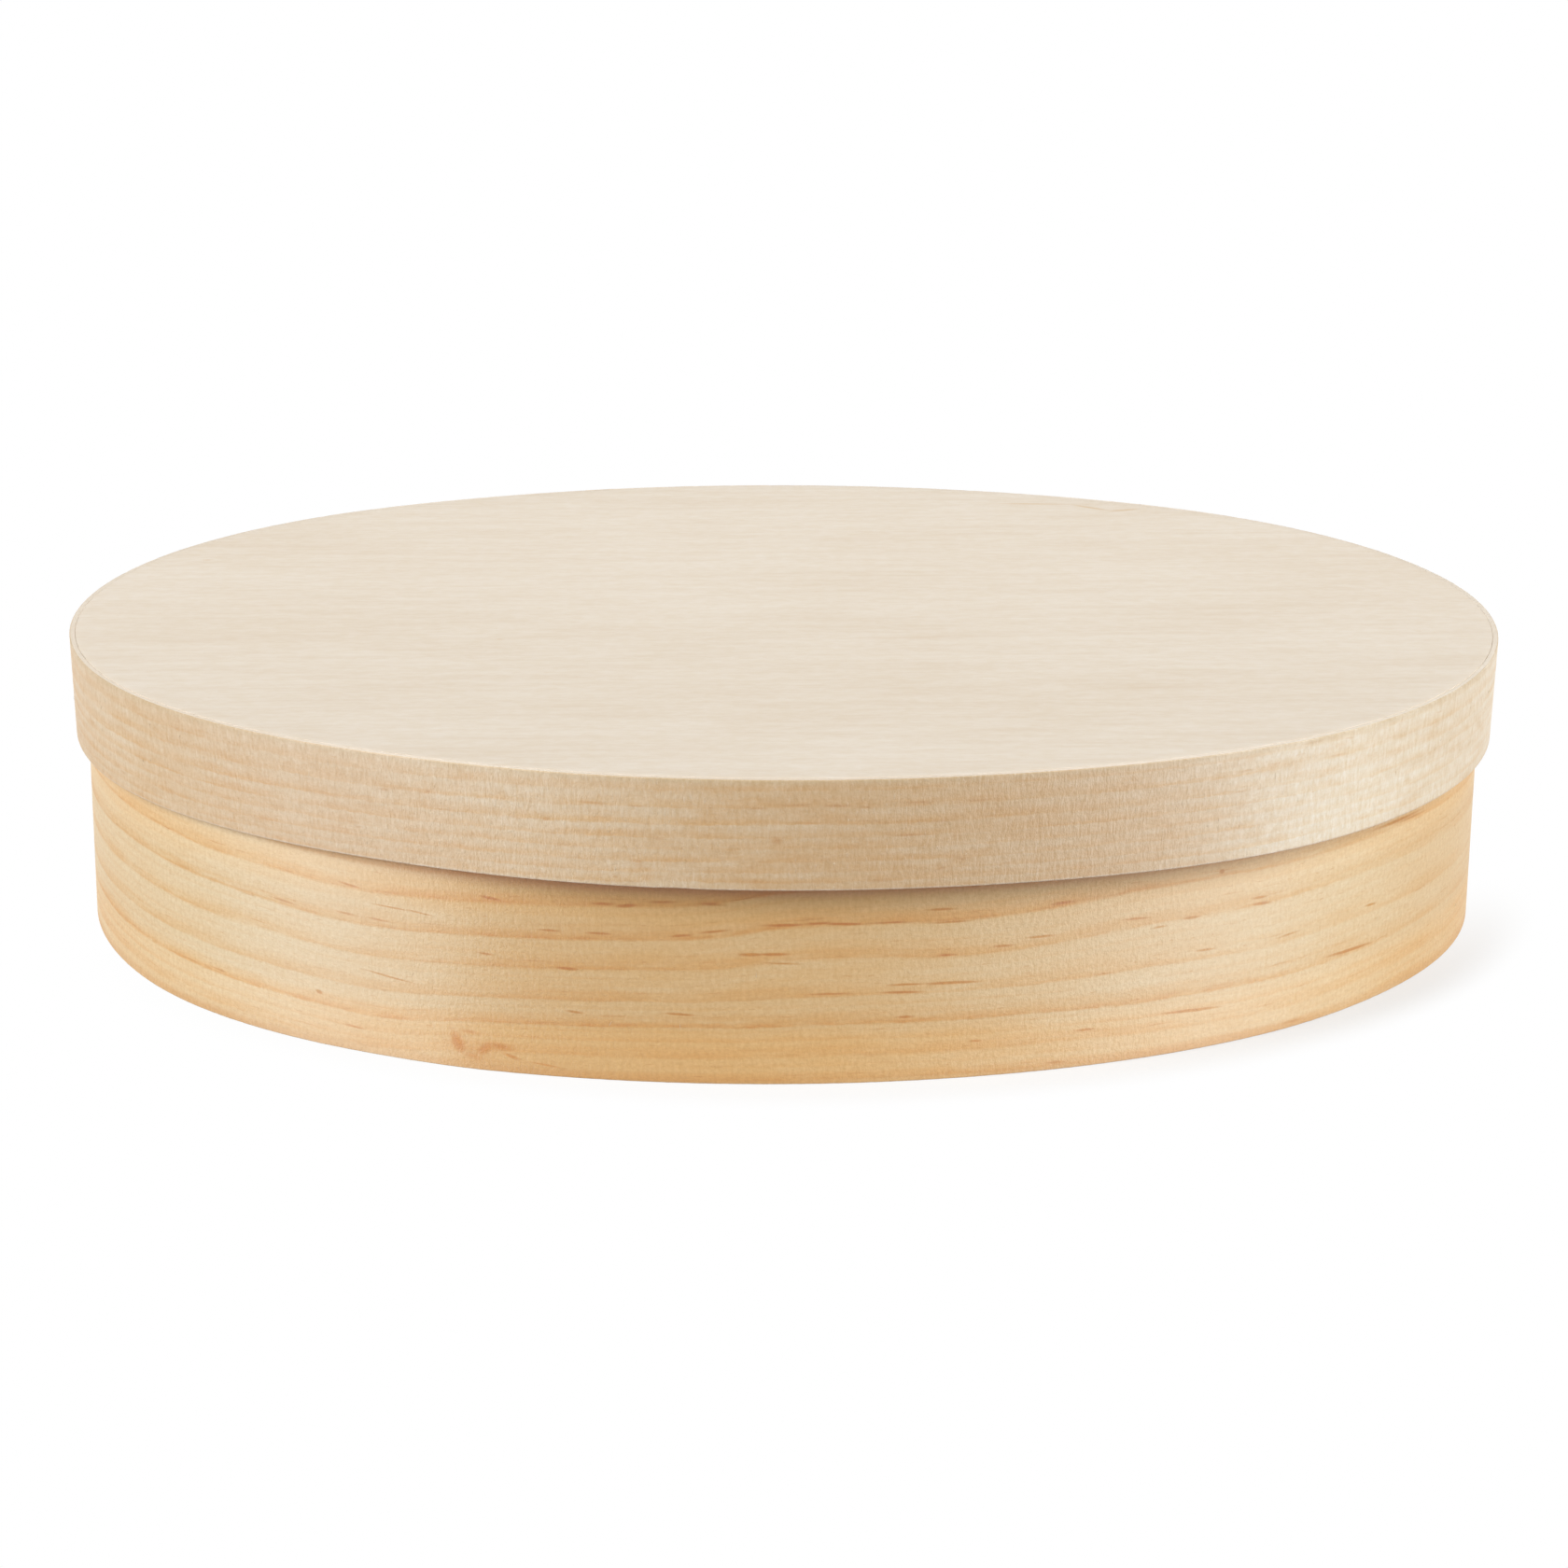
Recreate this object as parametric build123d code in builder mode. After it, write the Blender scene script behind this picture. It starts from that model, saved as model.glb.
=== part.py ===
"""Oval bentwood cheese box with a lift-off lid.

Two strips of thin wood are bent round a former into ovals, and the thinned ends
of each strip lap over each other and are glued. A board closes the foot of the
base, and another closes the top of the lid, flush with the edge of its strip. A
bead of glue holds each board in its strip. The lid drops over the base, and its
board rests on the rim.

Millimetres. The origin is the centre of the underside. +X is along the oval,
+Z is up, and the front of the box faces -Y. The laps are at the back.
"""
import os
from math import cos, radians, sin

from build123d import *

# Lid, measured over its top edge
lid_length = 300.0
lid_width = 246.0
lid_band_height = 20.9
lid_band_thickness = 1.2
lid_panel_thickness = 3.0

# Each oval is two end arcs and two side arcs, which meet at this angle from its length
arc_join_deg = 62.0

# The free lower edge of the lid's strip draws in at the ends and bows out at the sides
lid_end_draw = 0.6
lid_side_bow = 1.2

# Base
box_height = 60.4
base_band_thickness = 1.5
bottom_panel_thickness = 3.0

# Fits
lid_clearance = 2.0
panel_edge_gap = 0.15

# Lapped ends of the strips, and how far along the back the middle of each lap lies
lap_length = 45.0
lap_tip_thickness = 0.3
lap_gap = 0.2
lap_glue_thickness = 0.12
base_lap_place = 12.0
lid_lap_place = -20.0

# Beads of glue in the inner corners, from their foot on the board to their thin edge
bead_width = 1.2
bead_height = 1.2
bead_edge_width = 0.3

# Rounding of the wood's cut edges
edge_ease = 0.3

# How far a cutting shape runs past what it cuts
overrun = 1.0

# Sizes that follow
lid_foot_z = box_height - lid_band_height
lid_panel_z = box_height - lid_panel_thickness
base_inset = lid_band_thickness + lid_clearance
arc_join = radians(arc_join_deg)


def base_halves(depth):
    """Half length and half width of the oval that lies a depth inside the base's strip."""
    inset = base_inset + depth
    return lid_length / 2 - inset, lid_width / 2 - inset


def lid_halves(z, depth):
    """Half length and half width of the oval a depth inside the lid's strip, at a height."""
    below_share = (box_height - z) / lid_band_height
    half_x = lid_length / 2 - lid_end_draw * below_share - depth
    half_y = lid_width / 2 + lid_side_bow * below_share - depth
    return half_x, half_y


def arc_radii(half_x, half_y):
    """The radii of an oval's end arcs and side arcs."""
    rise_share = (1 - sin(arc_join)) / cos(arc_join)
    end_radius = (half_y - half_x * rise_share) / (1 - rise_share)
    side_radius = end_radius + (half_x - end_radius) / cos(arc_join)
    return end_radius, side_radius


def oval(z, halves):
    """An oval of four arcs, as a sketch at a height."""
    half_x, half_y = halves
    end_radius, _ = arc_radii(half_x, half_y)
    join_x = half_x - end_radius + end_radius * cos(arc_join)
    join_y = end_radius * sin(arc_join)
    with BuildSketch(Plane.XY.offset(z)) as outline:
        with BuildLine():
            ThreePointArc((join_x, -join_y), (half_x, 0), (join_x, join_y))
            ThreePointArc((join_x, join_y), (0, half_y), (-join_x, join_y))
            ThreePointArc((-join_x, join_y), (-half_x, 0), (-join_x, -join_y))
            ThreePointArc((-join_x, -join_y), (0, -half_y), (join_x, -join_y))
        make_face()
    return outline.sketch


def lap_slot(z, halves, thickness, place, width):
    """The slot between lapped ends, or the glue in it, as a sketch at a height.

    It goes straight in from the outer face to the depth of a tip, runs along
    the strip to a tip's depth from the inner face, and goes straight out.
    """
    _, side_radius = arc_radii(*halves)
    centre = Vector(0, halves[1] - side_radius)
    near = lap_tip_thickness
    far = thickness - lap_tip_thickness
    start = place - lap_length / 2
    end = place + lap_length / 2
    half_width = width / 2

    def at(run, depth):
        turn = run / side_radius
        return centre + Vector(sin(turn), cos(turn)) * (side_radius - depth)

    mouth_back = at(start - half_width, -overrun)
    mouth_front = at(start + half_width, -overrun)
    start_back = at(start - half_width, near + half_width)
    start_front = at(start + half_width, near - half_width)
    end_back = at(end - half_width, far + half_width)
    end_front = at(end + half_width, far - half_width)
    exit_back = at(end - half_width, thickness + overrun)
    exit_front = at(end + half_width, thickness + overrun)
    with BuildSketch(Plane.XY.offset(z)) as slot:
        with BuildLine():
            Line(mouth_back, start_back)
            ThreePointArc(start_back, at(place, thickness / 2 + half_width), end_back)
            Line(end_back, exit_back)
            Line(exit_back, exit_front)
            Line(exit_front, end_front)
            ThreePointArc(end_front, at(place, thickness / 2 - half_width), start_front)
            Line(start_front, mouth_front)
            Line(mouth_front, mouth_back)
        make_face()
    return slot.sketch


def lid_sections(depths, lowest=lid_foot_z, highest=box_height):
    """Two ovals inside the lid's strip, the lower one first, each at its own depth."""
    lower, upper = depths
    return [oval(lowest, lid_halves(lowest, lower)), oval(highest, lid_halves(highest, upper))]


def lid_lap(width):
    """The lap of the lid's strip, as sketches below its foot and above its top."""
    slots = []
    for z in (lid_foot_z - overrun, box_height + overrun):
        slots.append(lap_slot(z, lid_halves(z, 0), lid_band_thickness, lid_lap_place, width))
    return slots


def base_lap(width):
    """The lap of the base's strip, as a sketch below its foot."""
    return lap_slot(-overrun, base_halves(0), base_band_thickness, base_lap_place, width)


def make_base_band():
    with BuildPart() as base_band:
        extrude(oval(0, base_halves(0)), amount=lid_panel_z)
        extrude(oval(0, base_halves(base_band_thickness)), amount=lid_panel_z, mode=Mode.SUBTRACT)
        fillet(base_band.faces().filter_by(Axis.Z).edges(), edge_ease)
        extrude(base_lap(lap_gap), amount=lid_panel_z + 2 * overrun, mode=Mode.SUBTRACT)
    return base_band


def make_base_lap_glue():
    with BuildPart() as base_lap_glue:
        extrude(oval(0, base_halves(0)), amount=lid_panel_z)
        extrude(oval(0, base_halves(base_band_thickness)), amount=lid_panel_z, mode=Mode.SUBTRACT)
        lap_height = lid_panel_z + 2 * overrun
        extrude(base_lap(lap_glue_thickness), amount=lap_height, mode=Mode.INTERSECT)
    return base_lap_glue


def make_bottom_panel():
    with BuildPart() as bottom_panel:
        edge = base_halves(base_band_thickness + panel_edge_gap)
        extrude(oval(0, edge), amount=bottom_panel_thickness)
    return bottom_panel


def make_bottom_glue_bead():
    foot = bottom_panel_thickness
    with BuildPart() as bottom_glue_bead:
        extrude(oval(foot, base_halves(base_band_thickness)), amount=bead_height)
        foot_halves = base_halves(base_band_thickness + bead_width)
        edge_halves = base_halves(base_band_thickness + bead_edge_width)
        sections = [oval(foot, foot_halves), oval(foot + bead_height, edge_halves)]
        loft(sections, mode=Mode.SUBTRACT)
    return bottom_glue_bead


def make_lid_band():
    with BuildPart() as lid_band:
        loft(lid_sections((0, 0)))
        loft(lid_sections((lid_band_thickness, lid_band_thickness)), mode=Mode.SUBTRACT)
        fillet(lid_band.faces().filter_by(Axis.Z).edges(), edge_ease)
        loft(lid_lap(lap_gap), mode=Mode.SUBTRACT)
    return lid_band


def make_lid_lap_glue():
    with BuildPart() as lid_lap_glue:
        loft(lid_sections((0, 0)))
        loft(lid_sections((lid_band_thickness, lid_band_thickness)), mode=Mode.SUBTRACT)
        loft(lid_lap(lap_glue_thickness), mode=Mode.INTERSECT)
    return lid_lap_glue


def make_lid_panel():
    depth = lid_band_thickness + panel_edge_gap
    with BuildPart() as lid_panel:
        loft(lid_sections((depth, depth), lowest=lid_panel_z))
    return lid_panel


def make_lid_glue_bead():
    bead_foot_z = lid_panel_z - bead_height
    outer = (lid_band_thickness, lid_band_thickness)
    inner = (lid_band_thickness + bead_edge_width, lid_band_thickness + bead_width)
    with BuildPart() as lid_glue_bead:
        loft(lid_sections(outer, bead_foot_z, lid_panel_z))
        loft(lid_sections(inner, bead_foot_z, lid_panel_z), mode=Mode.SUBTRACT)
    return lid_glue_bead


os.makedirs("parts", exist_ok=True)
pieces = {
    "base_band": make_base_band,
    "base_lap_glue": make_base_lap_glue,
    "bottom_panel": make_bottom_panel,
    "bottom_glue_bead": make_bottom_glue_bead,
    "lid_band": make_lid_band,
    "lid_lap_glue": make_lid_lap_glue,
    "lid_panel": make_lid_panel,
    "lid_glue_bead": make_lid_glue_bead,
}
for node, make in pieces.items():
    piece = make()
    piece.part.label = node
    export_step(piece.part, f"parts/{node}.step")
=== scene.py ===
"""Oval bentwood cheese box with a lift-off lid, as it looks in the studio.

Each strip is swept once round its oval and laps over its own thinned end. Boards
close the foot of the base and the top of the lid. The scene is in metres, and the
lists and the grain are in millimetres. The front of the box faces -Y.
"""
import inspect
import math
from collections import namedtuple

import bmesh
import bpy
import numpy as np
from bpy.props import FloatProperty, FloatVectorProperty, PointerProperty
from mathutils import Matrix, Vector


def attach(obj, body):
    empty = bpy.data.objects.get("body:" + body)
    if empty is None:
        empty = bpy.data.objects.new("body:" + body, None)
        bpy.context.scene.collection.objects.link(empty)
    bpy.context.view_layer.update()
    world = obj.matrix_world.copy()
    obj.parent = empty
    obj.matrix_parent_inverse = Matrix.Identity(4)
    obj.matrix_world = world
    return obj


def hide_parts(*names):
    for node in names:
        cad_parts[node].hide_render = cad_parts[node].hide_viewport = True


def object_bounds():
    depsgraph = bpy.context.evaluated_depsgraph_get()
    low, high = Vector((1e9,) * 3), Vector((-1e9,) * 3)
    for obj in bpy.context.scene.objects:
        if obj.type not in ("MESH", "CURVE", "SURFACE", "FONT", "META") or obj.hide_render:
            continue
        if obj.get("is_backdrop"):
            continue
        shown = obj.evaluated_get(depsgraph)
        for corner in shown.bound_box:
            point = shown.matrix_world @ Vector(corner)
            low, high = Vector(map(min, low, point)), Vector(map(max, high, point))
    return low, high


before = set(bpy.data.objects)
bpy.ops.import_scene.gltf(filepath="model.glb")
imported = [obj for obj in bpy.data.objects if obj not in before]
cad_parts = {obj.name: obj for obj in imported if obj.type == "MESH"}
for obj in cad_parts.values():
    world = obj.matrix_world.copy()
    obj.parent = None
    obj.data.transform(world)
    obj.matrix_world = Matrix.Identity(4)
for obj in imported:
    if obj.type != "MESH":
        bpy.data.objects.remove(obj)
cad_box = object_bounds()

bl_info = {
    "name": "Oval Cheese Box",
    "version": (1, 0, 0),
    "blender": (4, 5, 0),
    "location": "View3D > Sidebar > Cheese Box",
    "description": "Builds an oval bentwood cheese box and the studio it is seen in",
    "category": "Add Mesh",
}

MM = 0.001
QUARTER_TURN = math.pi / 2
FULL_TURN = 2 * math.pi

# How many times round the front's middle a strip may be measured, each way
LAPS = 2

# What the lists below hold, and a place on the wood
Bump = namedtuple("Bump", "along reach size")
Ring = namedtuple("Ring", "height width strength")
Streak = namedtuple("Streak", "along height length width tilt strength")
Place = namedtuple("Place", "along height depth")

# Where the hand-bent strips leave a true oval, along from the front's middle
LID_BULGES = (Bump(-105, 46, -1.6), Bump(84, 38, 1.1))
BASE_BULGES = (Bump(122, 38, -1.6), Bump(38, 55, -0.35), Bump(-138, 26, 0.5))

# How far the lid is kept inside its oval
LID_INSET = 0.06

# The crease that bending left in the base's strip, and how much of each push is lost at the top
BASE_CREASE = Bump(-67.4, 40, 1.7)
BASE_CREASE_SOFTNESS = 6.0
BASE_PUSH_LOST = 0.8

# The uneven cut of the lid strip's lower edge
LID_FOOT_LIFTS = (Bump(-100, 50, 0.25), Bump(90, 45, -0.22), Bump(-27, 3, 0.12))

# The width of a ring's sharp side, and how close two stops of a ramp may come
RING_EDGE = 0.4
CLOSEST_STOPS = 0.002

# The bands of late wood on each strip, each by its sharp lower side
BASE_RINGS = (
    Ring(1.0, 1.8, 0.9),
    Ring(5.9, 2.4, 0.7),
    Ring(8.9, 1.4, 0.35),
    Ring(11.8, 3.2, 1.0),
    Ring(17.5, 3.4, 0.75),
    Ring(24.6, 3.6, 0.9),
    Ring(31.2, 3.4, 1.0),
    Ring(38.0, 3.2, 0.95),
    Ring(43.4, 3.4, 0.8),
)
LID_RINGS = (
    Ring(39.5, 1.4, 0.6),
    Ring(41.3, 1.5, 0.9),
    Ring(43.2, 1.5, 0.7),
    Ring(45.2, 1.6, 0.9),
    Ring(47.6, 1.8, 0.7),
    Ring(49.7, 1.7, 0.9),
    Ring(52.3, 2.0, 1.0),
    Ring(55.4, 2.2, 0.9),
    Ring(58.6, 1.8, 0.6),
)

# How far the grain rises and dips along the front: low and high on the base, and on the lid
LOW_RISES = {
    -300: 0.0, -160: -2.4, -110: -3.2, -90: -4.0, -78: -3.8, -68: -2.2, -52: -1.4, -35: -0.6,
    -18: -0.5, 0: 0.2, 20: 0.0, 45: 0.0, 68: -0.6, 95: -0.6, 115: -0.4, 140: 0.3, 160: 0.3,
    300: 0.0,
}
HIGH_RISES = {
    -300: 0.0, -160: -2.8, -110: -4.2, -90: -5.6, -72: -5.1, -57: -4.4, -43: -3.8, -27: -3.1,
    -18: -2.2, -10: -0.4, 0: 0.6, 20: 0.0, 35: 0.3, 52: 2.0, 65: 3.0, 90: 3.2, 118: 3.8,
    160: 4.0, 300: 0.0,
}
LID_RISES = {
    -300: 0.0, -150: -2.0, -110: -1.6, -70: -1.1, -35: -0.5, 0: 0.0, 40: 0.3, 90: 0.5, 130: 0.5,
    160: 0.5, 300: 0.0,
}

# The most that the grain rises or dips, and how far each side of the front's middle levels reach
RISE_LIMIT = 6.0
FRONT_REACH = 320.0

# How warm and how bright each strip is along the front: partly the wood's own tone, partly painted
# sheen and painted shade, paler where the sheen falls and darker where it misses
BASE_WARMTHS = {
    -300: 0.5, -150: 0.3, -118: 0.0, -92: 0.45, -74: 0.5, -56: 1.0, -25: 0.95, 15: 0.8,
    65: 0.43, 110: 0.07, 140: 0.65, 300: 0.5,
}
BASE_SHADES = {
    -300: 0.92, -140: 0.93, -95: 0.87, -76: 0.9, -55: 0.82, -25: 0.81, 15: 0.84, 45: 0.88,
    75: 0.89, 115: 0.97, 140: 0.9, 300: 0.92,
}
LID_WARMTHS = {
    -300: 0.5, -155: 0.7, -130: 0.85, -88: 0.87, -60: 0.6, -20: 0.82, 12: 1.0, 65: 0.95,
    92: 0.1, 120: 0.06, 300: 0.5,
}
LID_SHADES = {
    -300: 0.93, -150: 0.96, -95: 0.84, -60: 0.92, -25: 0.81, 20: 0.75, 50: 0.76, 80: 0.82,
    110: 0.97, 135: 0.93, 300: 0.93,
}

# Resin canals that the knife laid open in the base's strip
BASE_STREAKS = (
    Streak(-90.8, 33.2, 3.2, 0.36, -0.15, 0.7),
    Streak(-82.0, 30.0, 5.8, 0.26, -0.05, 0.8),
    Streak(-75.8, 29.7, 4.2, 0.26, -0.10, 0.7),
    Streak(-105.8, 27.4, 4.8, 0.34, -0.08, 0.55),
    Streak(-91.5, 27.4, 3.8, 0.32, -0.05, 0.6),
    Streak(-84.5, 27.2, 4.0, 0.30, -0.06, 0.6),
    Streak(-61.6, 34.2, 2.8, 0.4, -0.12, 0.85),
    Streak(-50.2, 28.9, 3.0, 0.34, 0.0, 0.8),
    Streak(-40.8, 28.9, 3.2, 0.36, 0.0, 0.9),
    Streak(-40.0, 34.7, 3.2, 0.45, 0.02, 0.75),
    Streak(-35.6, 34.6, 2.8, 0.5, 0.10, 0.9),
    Streak(-29.0, 35.6, 4.2, 0.4, 0.02, 0.6),
    Streak(-19.6, 35.4, 4.0, 0.5, -0.02, 0.6),
    Streak(-25.4, 29.2, 3.0, 0.4, 0.10, 0.8),
    Streak(-19.2, 30.1, 4.0, 0.4, 0.12, 0.7),
    Streak(-62.5, 23.2, 2.2, 0.36, -0.05, 0.75),
    Streak(-46.8, 21.6, 2.8, 0.45, -0.04, 0.95),
    Streak(-12.6, 25.7, 3.2, 0.5, 0.0, 0.95),
    Streak(-8.4, 25.8, 4.2, 0.4, 0.02, 0.9),
    Streak(-6.6, 24.0, 5.0, 0.3, -0.04, 0.6),
    Streak(-6.6, 31.5, 5.5, 0.4, 0.02, 0.8),
    Streak(0.0, 31.8, 3.8, 0.4, 0.03, 0.75),
    Streak(4.8, 31.6, 5.2, 0.4, -0.04, 0.85),
    Streak(13.2, 31.6, 6.2, 0.34, 0.0, 0.6),
    Streak(25.0, 31.2, 5.8, 0.34, 0.01, 0.7),
    Streak(22.9, 33.8, 4.2, 0.4, -0.02, 0.75),
    Streak(46.4, 33.3, 3.5, 0.45, 0.06, 0.7),
    Streak(-45.4, 13.2, 2.5, 0.4, -0.1, 0.75),
    Streak(-25.6, 13.7, 4.2, 0.38, -0.04, 0.8),
    Streak(2.0, 17.9, 6.8, 0.34, 0.0, 0.55),
    Streak(16.6, 19.3, 5.2, 0.34, 0.0, 0.8),
    Streak(25.2, 19.2, 7.0, 0.40, -0.01, 1.0),
    Streak(15.6, 17.8, 5.5, 0.36, -0.02, 0.85),
    Streak(16.4, 12.9, 2.2, 0.4, 0.0, 0.75),
    Streak(30.0, 7.3, 1.8, 0.34, -0.06, 0.7),
    Streak(24.0, 24.7, 2.5, 0.36, 0.0, 0.7),
    Streak(35.0, 25.8, 3.0, 0.36, 0.0, 0.75),
    Streak(42.2, 27.0, 4.0, 0.36, 0.02, 0.85),
    Streak(51.8, 7.4, 3.0, 0.36, -0.02, 0.75),
    Streak(74.8, 8.2, 9.0, 0.42, -0.05, 1.0),
    Streak(61.8, 28.5, 4.2, 0.34, -0.03, 0.65),
    Streak(66.8, 26.2, 2.5, 0.36, 0.04, 0.65),
    Streak(73.8, 27.1, 2.8, 0.40, 0.0, 0.9),
    Streak(77.2, 20.1, 3.2, 0.36, -0.04, 0.75),
    Streak(89.6, 28.7, 2.8, 0.4, -0.02, 0.75),
    Streak(90.0, 27.4, 3.2, 0.42, -0.06, 0.9),
    Streak(97.4, 19.7, 4.5, 0.4, 0.08, 0.55),
    Streak(121.6, 20.6, 2.8, 0.4, -0.06, 0.75),
    Streak(115.6, 12.5, 9.5, 0.46, -0.03, 0.95),
    Streak(46.0, 1.5, 3.8, 0.5, -0.04, 0.6),
    Streak(99.8, 1.2, 4.2, 0.55, 0.0, 0.6),
    Streak(80.2, 35.4, 0.8, 0.6, 0.0, 1.0),
    Streak(129.5, 36.2, 13.1, 0.55, 0.0, 0.7),
    Streak(135.0, 35.6, 8.8, 0.5, -0.02, 0.5),
    Streak(-82.6, 16.2, 7.2, 0.28, -0.12, 0.85),
    Streak(-98.0, 10.6, 1.1, 0.5, -0.2, 1.0),
    Streak(-90.2, 4.9, 3.2, 0.32, -0.05, 0.7),
)

# The strokes of the knot at the base's foot, and the orange stain round them
KNOT_STROKES = (
    Streak(-68.2, 5.0, 3.4, 1.9, -1.75, 0.85),
    Streak(-62.8, 4.4, 3.2, 1.5, 0.75, 0.8),
    Streak(-59.8, 5.1, 4.0, 1.2, -0.12, 0.7),
    Streak(-57.6, 3.3, 2.8, 0.6, -0.28, 0.7),
    Streak(-51.0, 2.2, 5.4, 0.4, -0.12, 0.6),
    Streak(-65.8, 7.4, 3.6, 0.7, -0.1, 0.45),
    Streak(-65.2, 2.7, 4.2, 1.3, -0.15, 0.5),
)
KNOT_GLOW = (Streak(-64.6, 3.4, 9.0, 5.0, -0.1, 0.95), Streak(-56.0, 1.0, 22.0, 3.4, 0.0, 0.6))

# The torn and resinous marks on the lid's strip
LID_STREAKS = (
    Streak(-42.6, 55.1, 3.6, 0.45, 0.0, 0.95),
    Streak(-34.2, 54.9, 2.0, 0.45, 0.0, 0.7),
    Streak(-83.8, 53.6, 2.0, 0.45, 0.05, 0.8),
    Streak(-74.6, 54.2, 1.2, 0.5, 0.3, 0.7),
    Streak(-101.0, 53.4, 3.4, 0.4, 0.0, 0.4),
    Streak(-34.0, 44.5, 1.6, 0.5, 0.0, 0.95),
    Streak(-45.6, 44.6, 2.4, 0.34, 0.0, 0.4),
    Streak(-8.2, 49.1, 1.8, 1.1, 0.0, 0.7),
    Streak(-11.8, 55.1, 2.8, 0.4, 0.0, 0.7),
    Streak(-4.8, 55.8, 4.6, 0.4, 0.04, 0.7),
    Streak(3.0, 55.6, 3.6, 0.45, 0.0, 0.9),
    Streak(8.2, 55.2, 1.8, 0.45, -0.05, 0.7),
    Streak(18.0, 55.8, 5.0, 0.34, 0.02, 0.6),
    Streak(29.4, 55.8, 5.4, 0.34, 0.0, 0.6),
    Streak(-2.6, 52.4, 6.0, 0.34, 0.0, 0.55),
    Streak(9.0, 52.7, 3.2, 0.34, 0.0, 0.5),
    Streak(22.4, 52.2, 3.6, 0.34, -0.02, 0.5),
    Streak(16.4, 49.8, 4.4, 0.4, 0.0, 0.75),
    Streak(25.2, 49.3, 2.2, 0.45, 0.0, 0.5),
    Streak(26.6, 45.0, 2.8, 0.4, 0.0, 0.6),
    Streak(22.4, 43.2, 2.2, 0.5, 0.2, 0.6),
    Streak(11.0, 41.3, 5.0, 0.5, 0.0, 0.5),
    Streak(83.4, 56.4, 3.6, 0.45, 0.02, 0.6),
    Streak(90.0, 56.8, 2.2, 0.4, 0.0, 0.5),
    Streak(83.0, 49.6, 2.6, 0.6, 0.0, 0.45),
    Streak(73.0, 43.2, 3.6, 0.4, 0.0, 0.5),
    Streak(105.8, 56.0, 3.2, 0.5, -0.05, 0.6),
    Streak(99.0, 59.7, 4.6, 0.45, 0.0, 0.6),
    Streak(108.4, 58.9, 2.4, 0.45, -0.08, 0.6),
    Streak(-119.0, 56.0, 3.6, 0.6, -0.05, 0.4),
    Streak(-135.0, 57.0, 3.0, 0.8, 0.0, 0.35),
)

# The small flaw and the specks on the lid's board, and its faint stains
BOARD_STREAKS = (
    Streak(64.0, 101.0, 12.0, 0.9, -0.06, 0.8),
    Streak(77.5, 97.0, 6.5, 1.0, -0.75, 1.0),
    Streak(85.0, 94.2, 5.0, 1.0, 0.3, 1.0),
    Streak(-126.4, 49.0, 1.8, 0.9, 0.0, 0.5),
    Streak(-60.2, -21.6, 1.4, 0.8, 0.0, 0.5),
)
BOARD_STAINS = (
    Streak(69.0, -62.0, 22.0, 3.0, 0.05, 0.7),
    Streak(38.0, -91.0, 20.0, 2.6, 0.0, 0.7),
    Streak(27.0, -23.0, 14.0, 5.0, 0.1, 0.45),
    Streak(-95.0, -40.0, 30.0, 14.0, 0.0, 0.25),
)

# How both strips shine, with how much their sheen is drawn out and how far round it is turned
STRIP_SHEEN = {"gloss": 1.0, "stretch": 0.85, "bend": 1.7}
STRETCH_TURN = 0.25

# How fast the uneven cut of a strip's foot fades up the strip
LIFT_FADING = 3.0

# How many loose fibres stand on a square metre of each strip, and the seeds of their places
BASE_FIBRE_DENSITY = 900.0
BASE_FIBRE_SEED = 21
LID_FIBRE_DENSITY = 5000.0
LID_FIBRE_SEED = 22

# One fibre: its points, how far it bends, thins and leans, and its shortest and longest share
FIBRE_STEPS = 4
FIBRE_SIDES = 4
FIBRE_BEND = 0.3
FIBRE_TAPER = 0.7
FIBRE_LEAN = 0.4
FIBRE_LEAN_SEED = 3
FIBRE_SIZE_RANGE = (0.4, 1.2)
FIBRE_SIZE_SEED = 5

# Steps round an eased edge, and where the points of a glue bead's hollow lie on its quarter turn
EASE_STEPS = 4
BEAD_TURN_SHARES = (0.15, 0.3, 0.45, 0.6, 0.75, 0.9)

# Points along the glue film in a lap, and up it
FILM_STATIONS = 46
FILM_HEIGHTS = 8

# Where the floor's shadow begins and is full, across and to the front, in half lengths of the box
SHADOW_ACROSS = (-1.1, 0.9)
SHADOW_FORWARD = (0.0, -0.5)

# The nearest thing that the camera shows, in metres
CLIP_START = 0.05

WHITE = (1.0, 1.0, 1.0, 1.0)
NODE_SPACING = 180


def length(name, description, millimetres):
    """A length that a user would change, given here in millimetres."""
    return FloatProperty(
        name=name, description=description, default=millimetres * MM, unit="LENGTH", precision=5
    )


def angle(name, description, degrees):
    """An angle that a user would change, given here in degrees."""
    return FloatProperty(
        name=name, description=description, default=math.radians(degrees), subtype="ANGLE"
    )


def amount(name, description, value, highest=1.0):
    """A plain number from nothing up to its highest value."""
    return FloatProperty(name=name, description=description, default=value, min=0.0, max=highest)


def colour(name, description, value):
    """A linear colour."""
    return FloatVectorProperty(
        name=name, description=description, default=value, subtype="COLOR", size=3, min=0.0, max=1.0
    )


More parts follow.
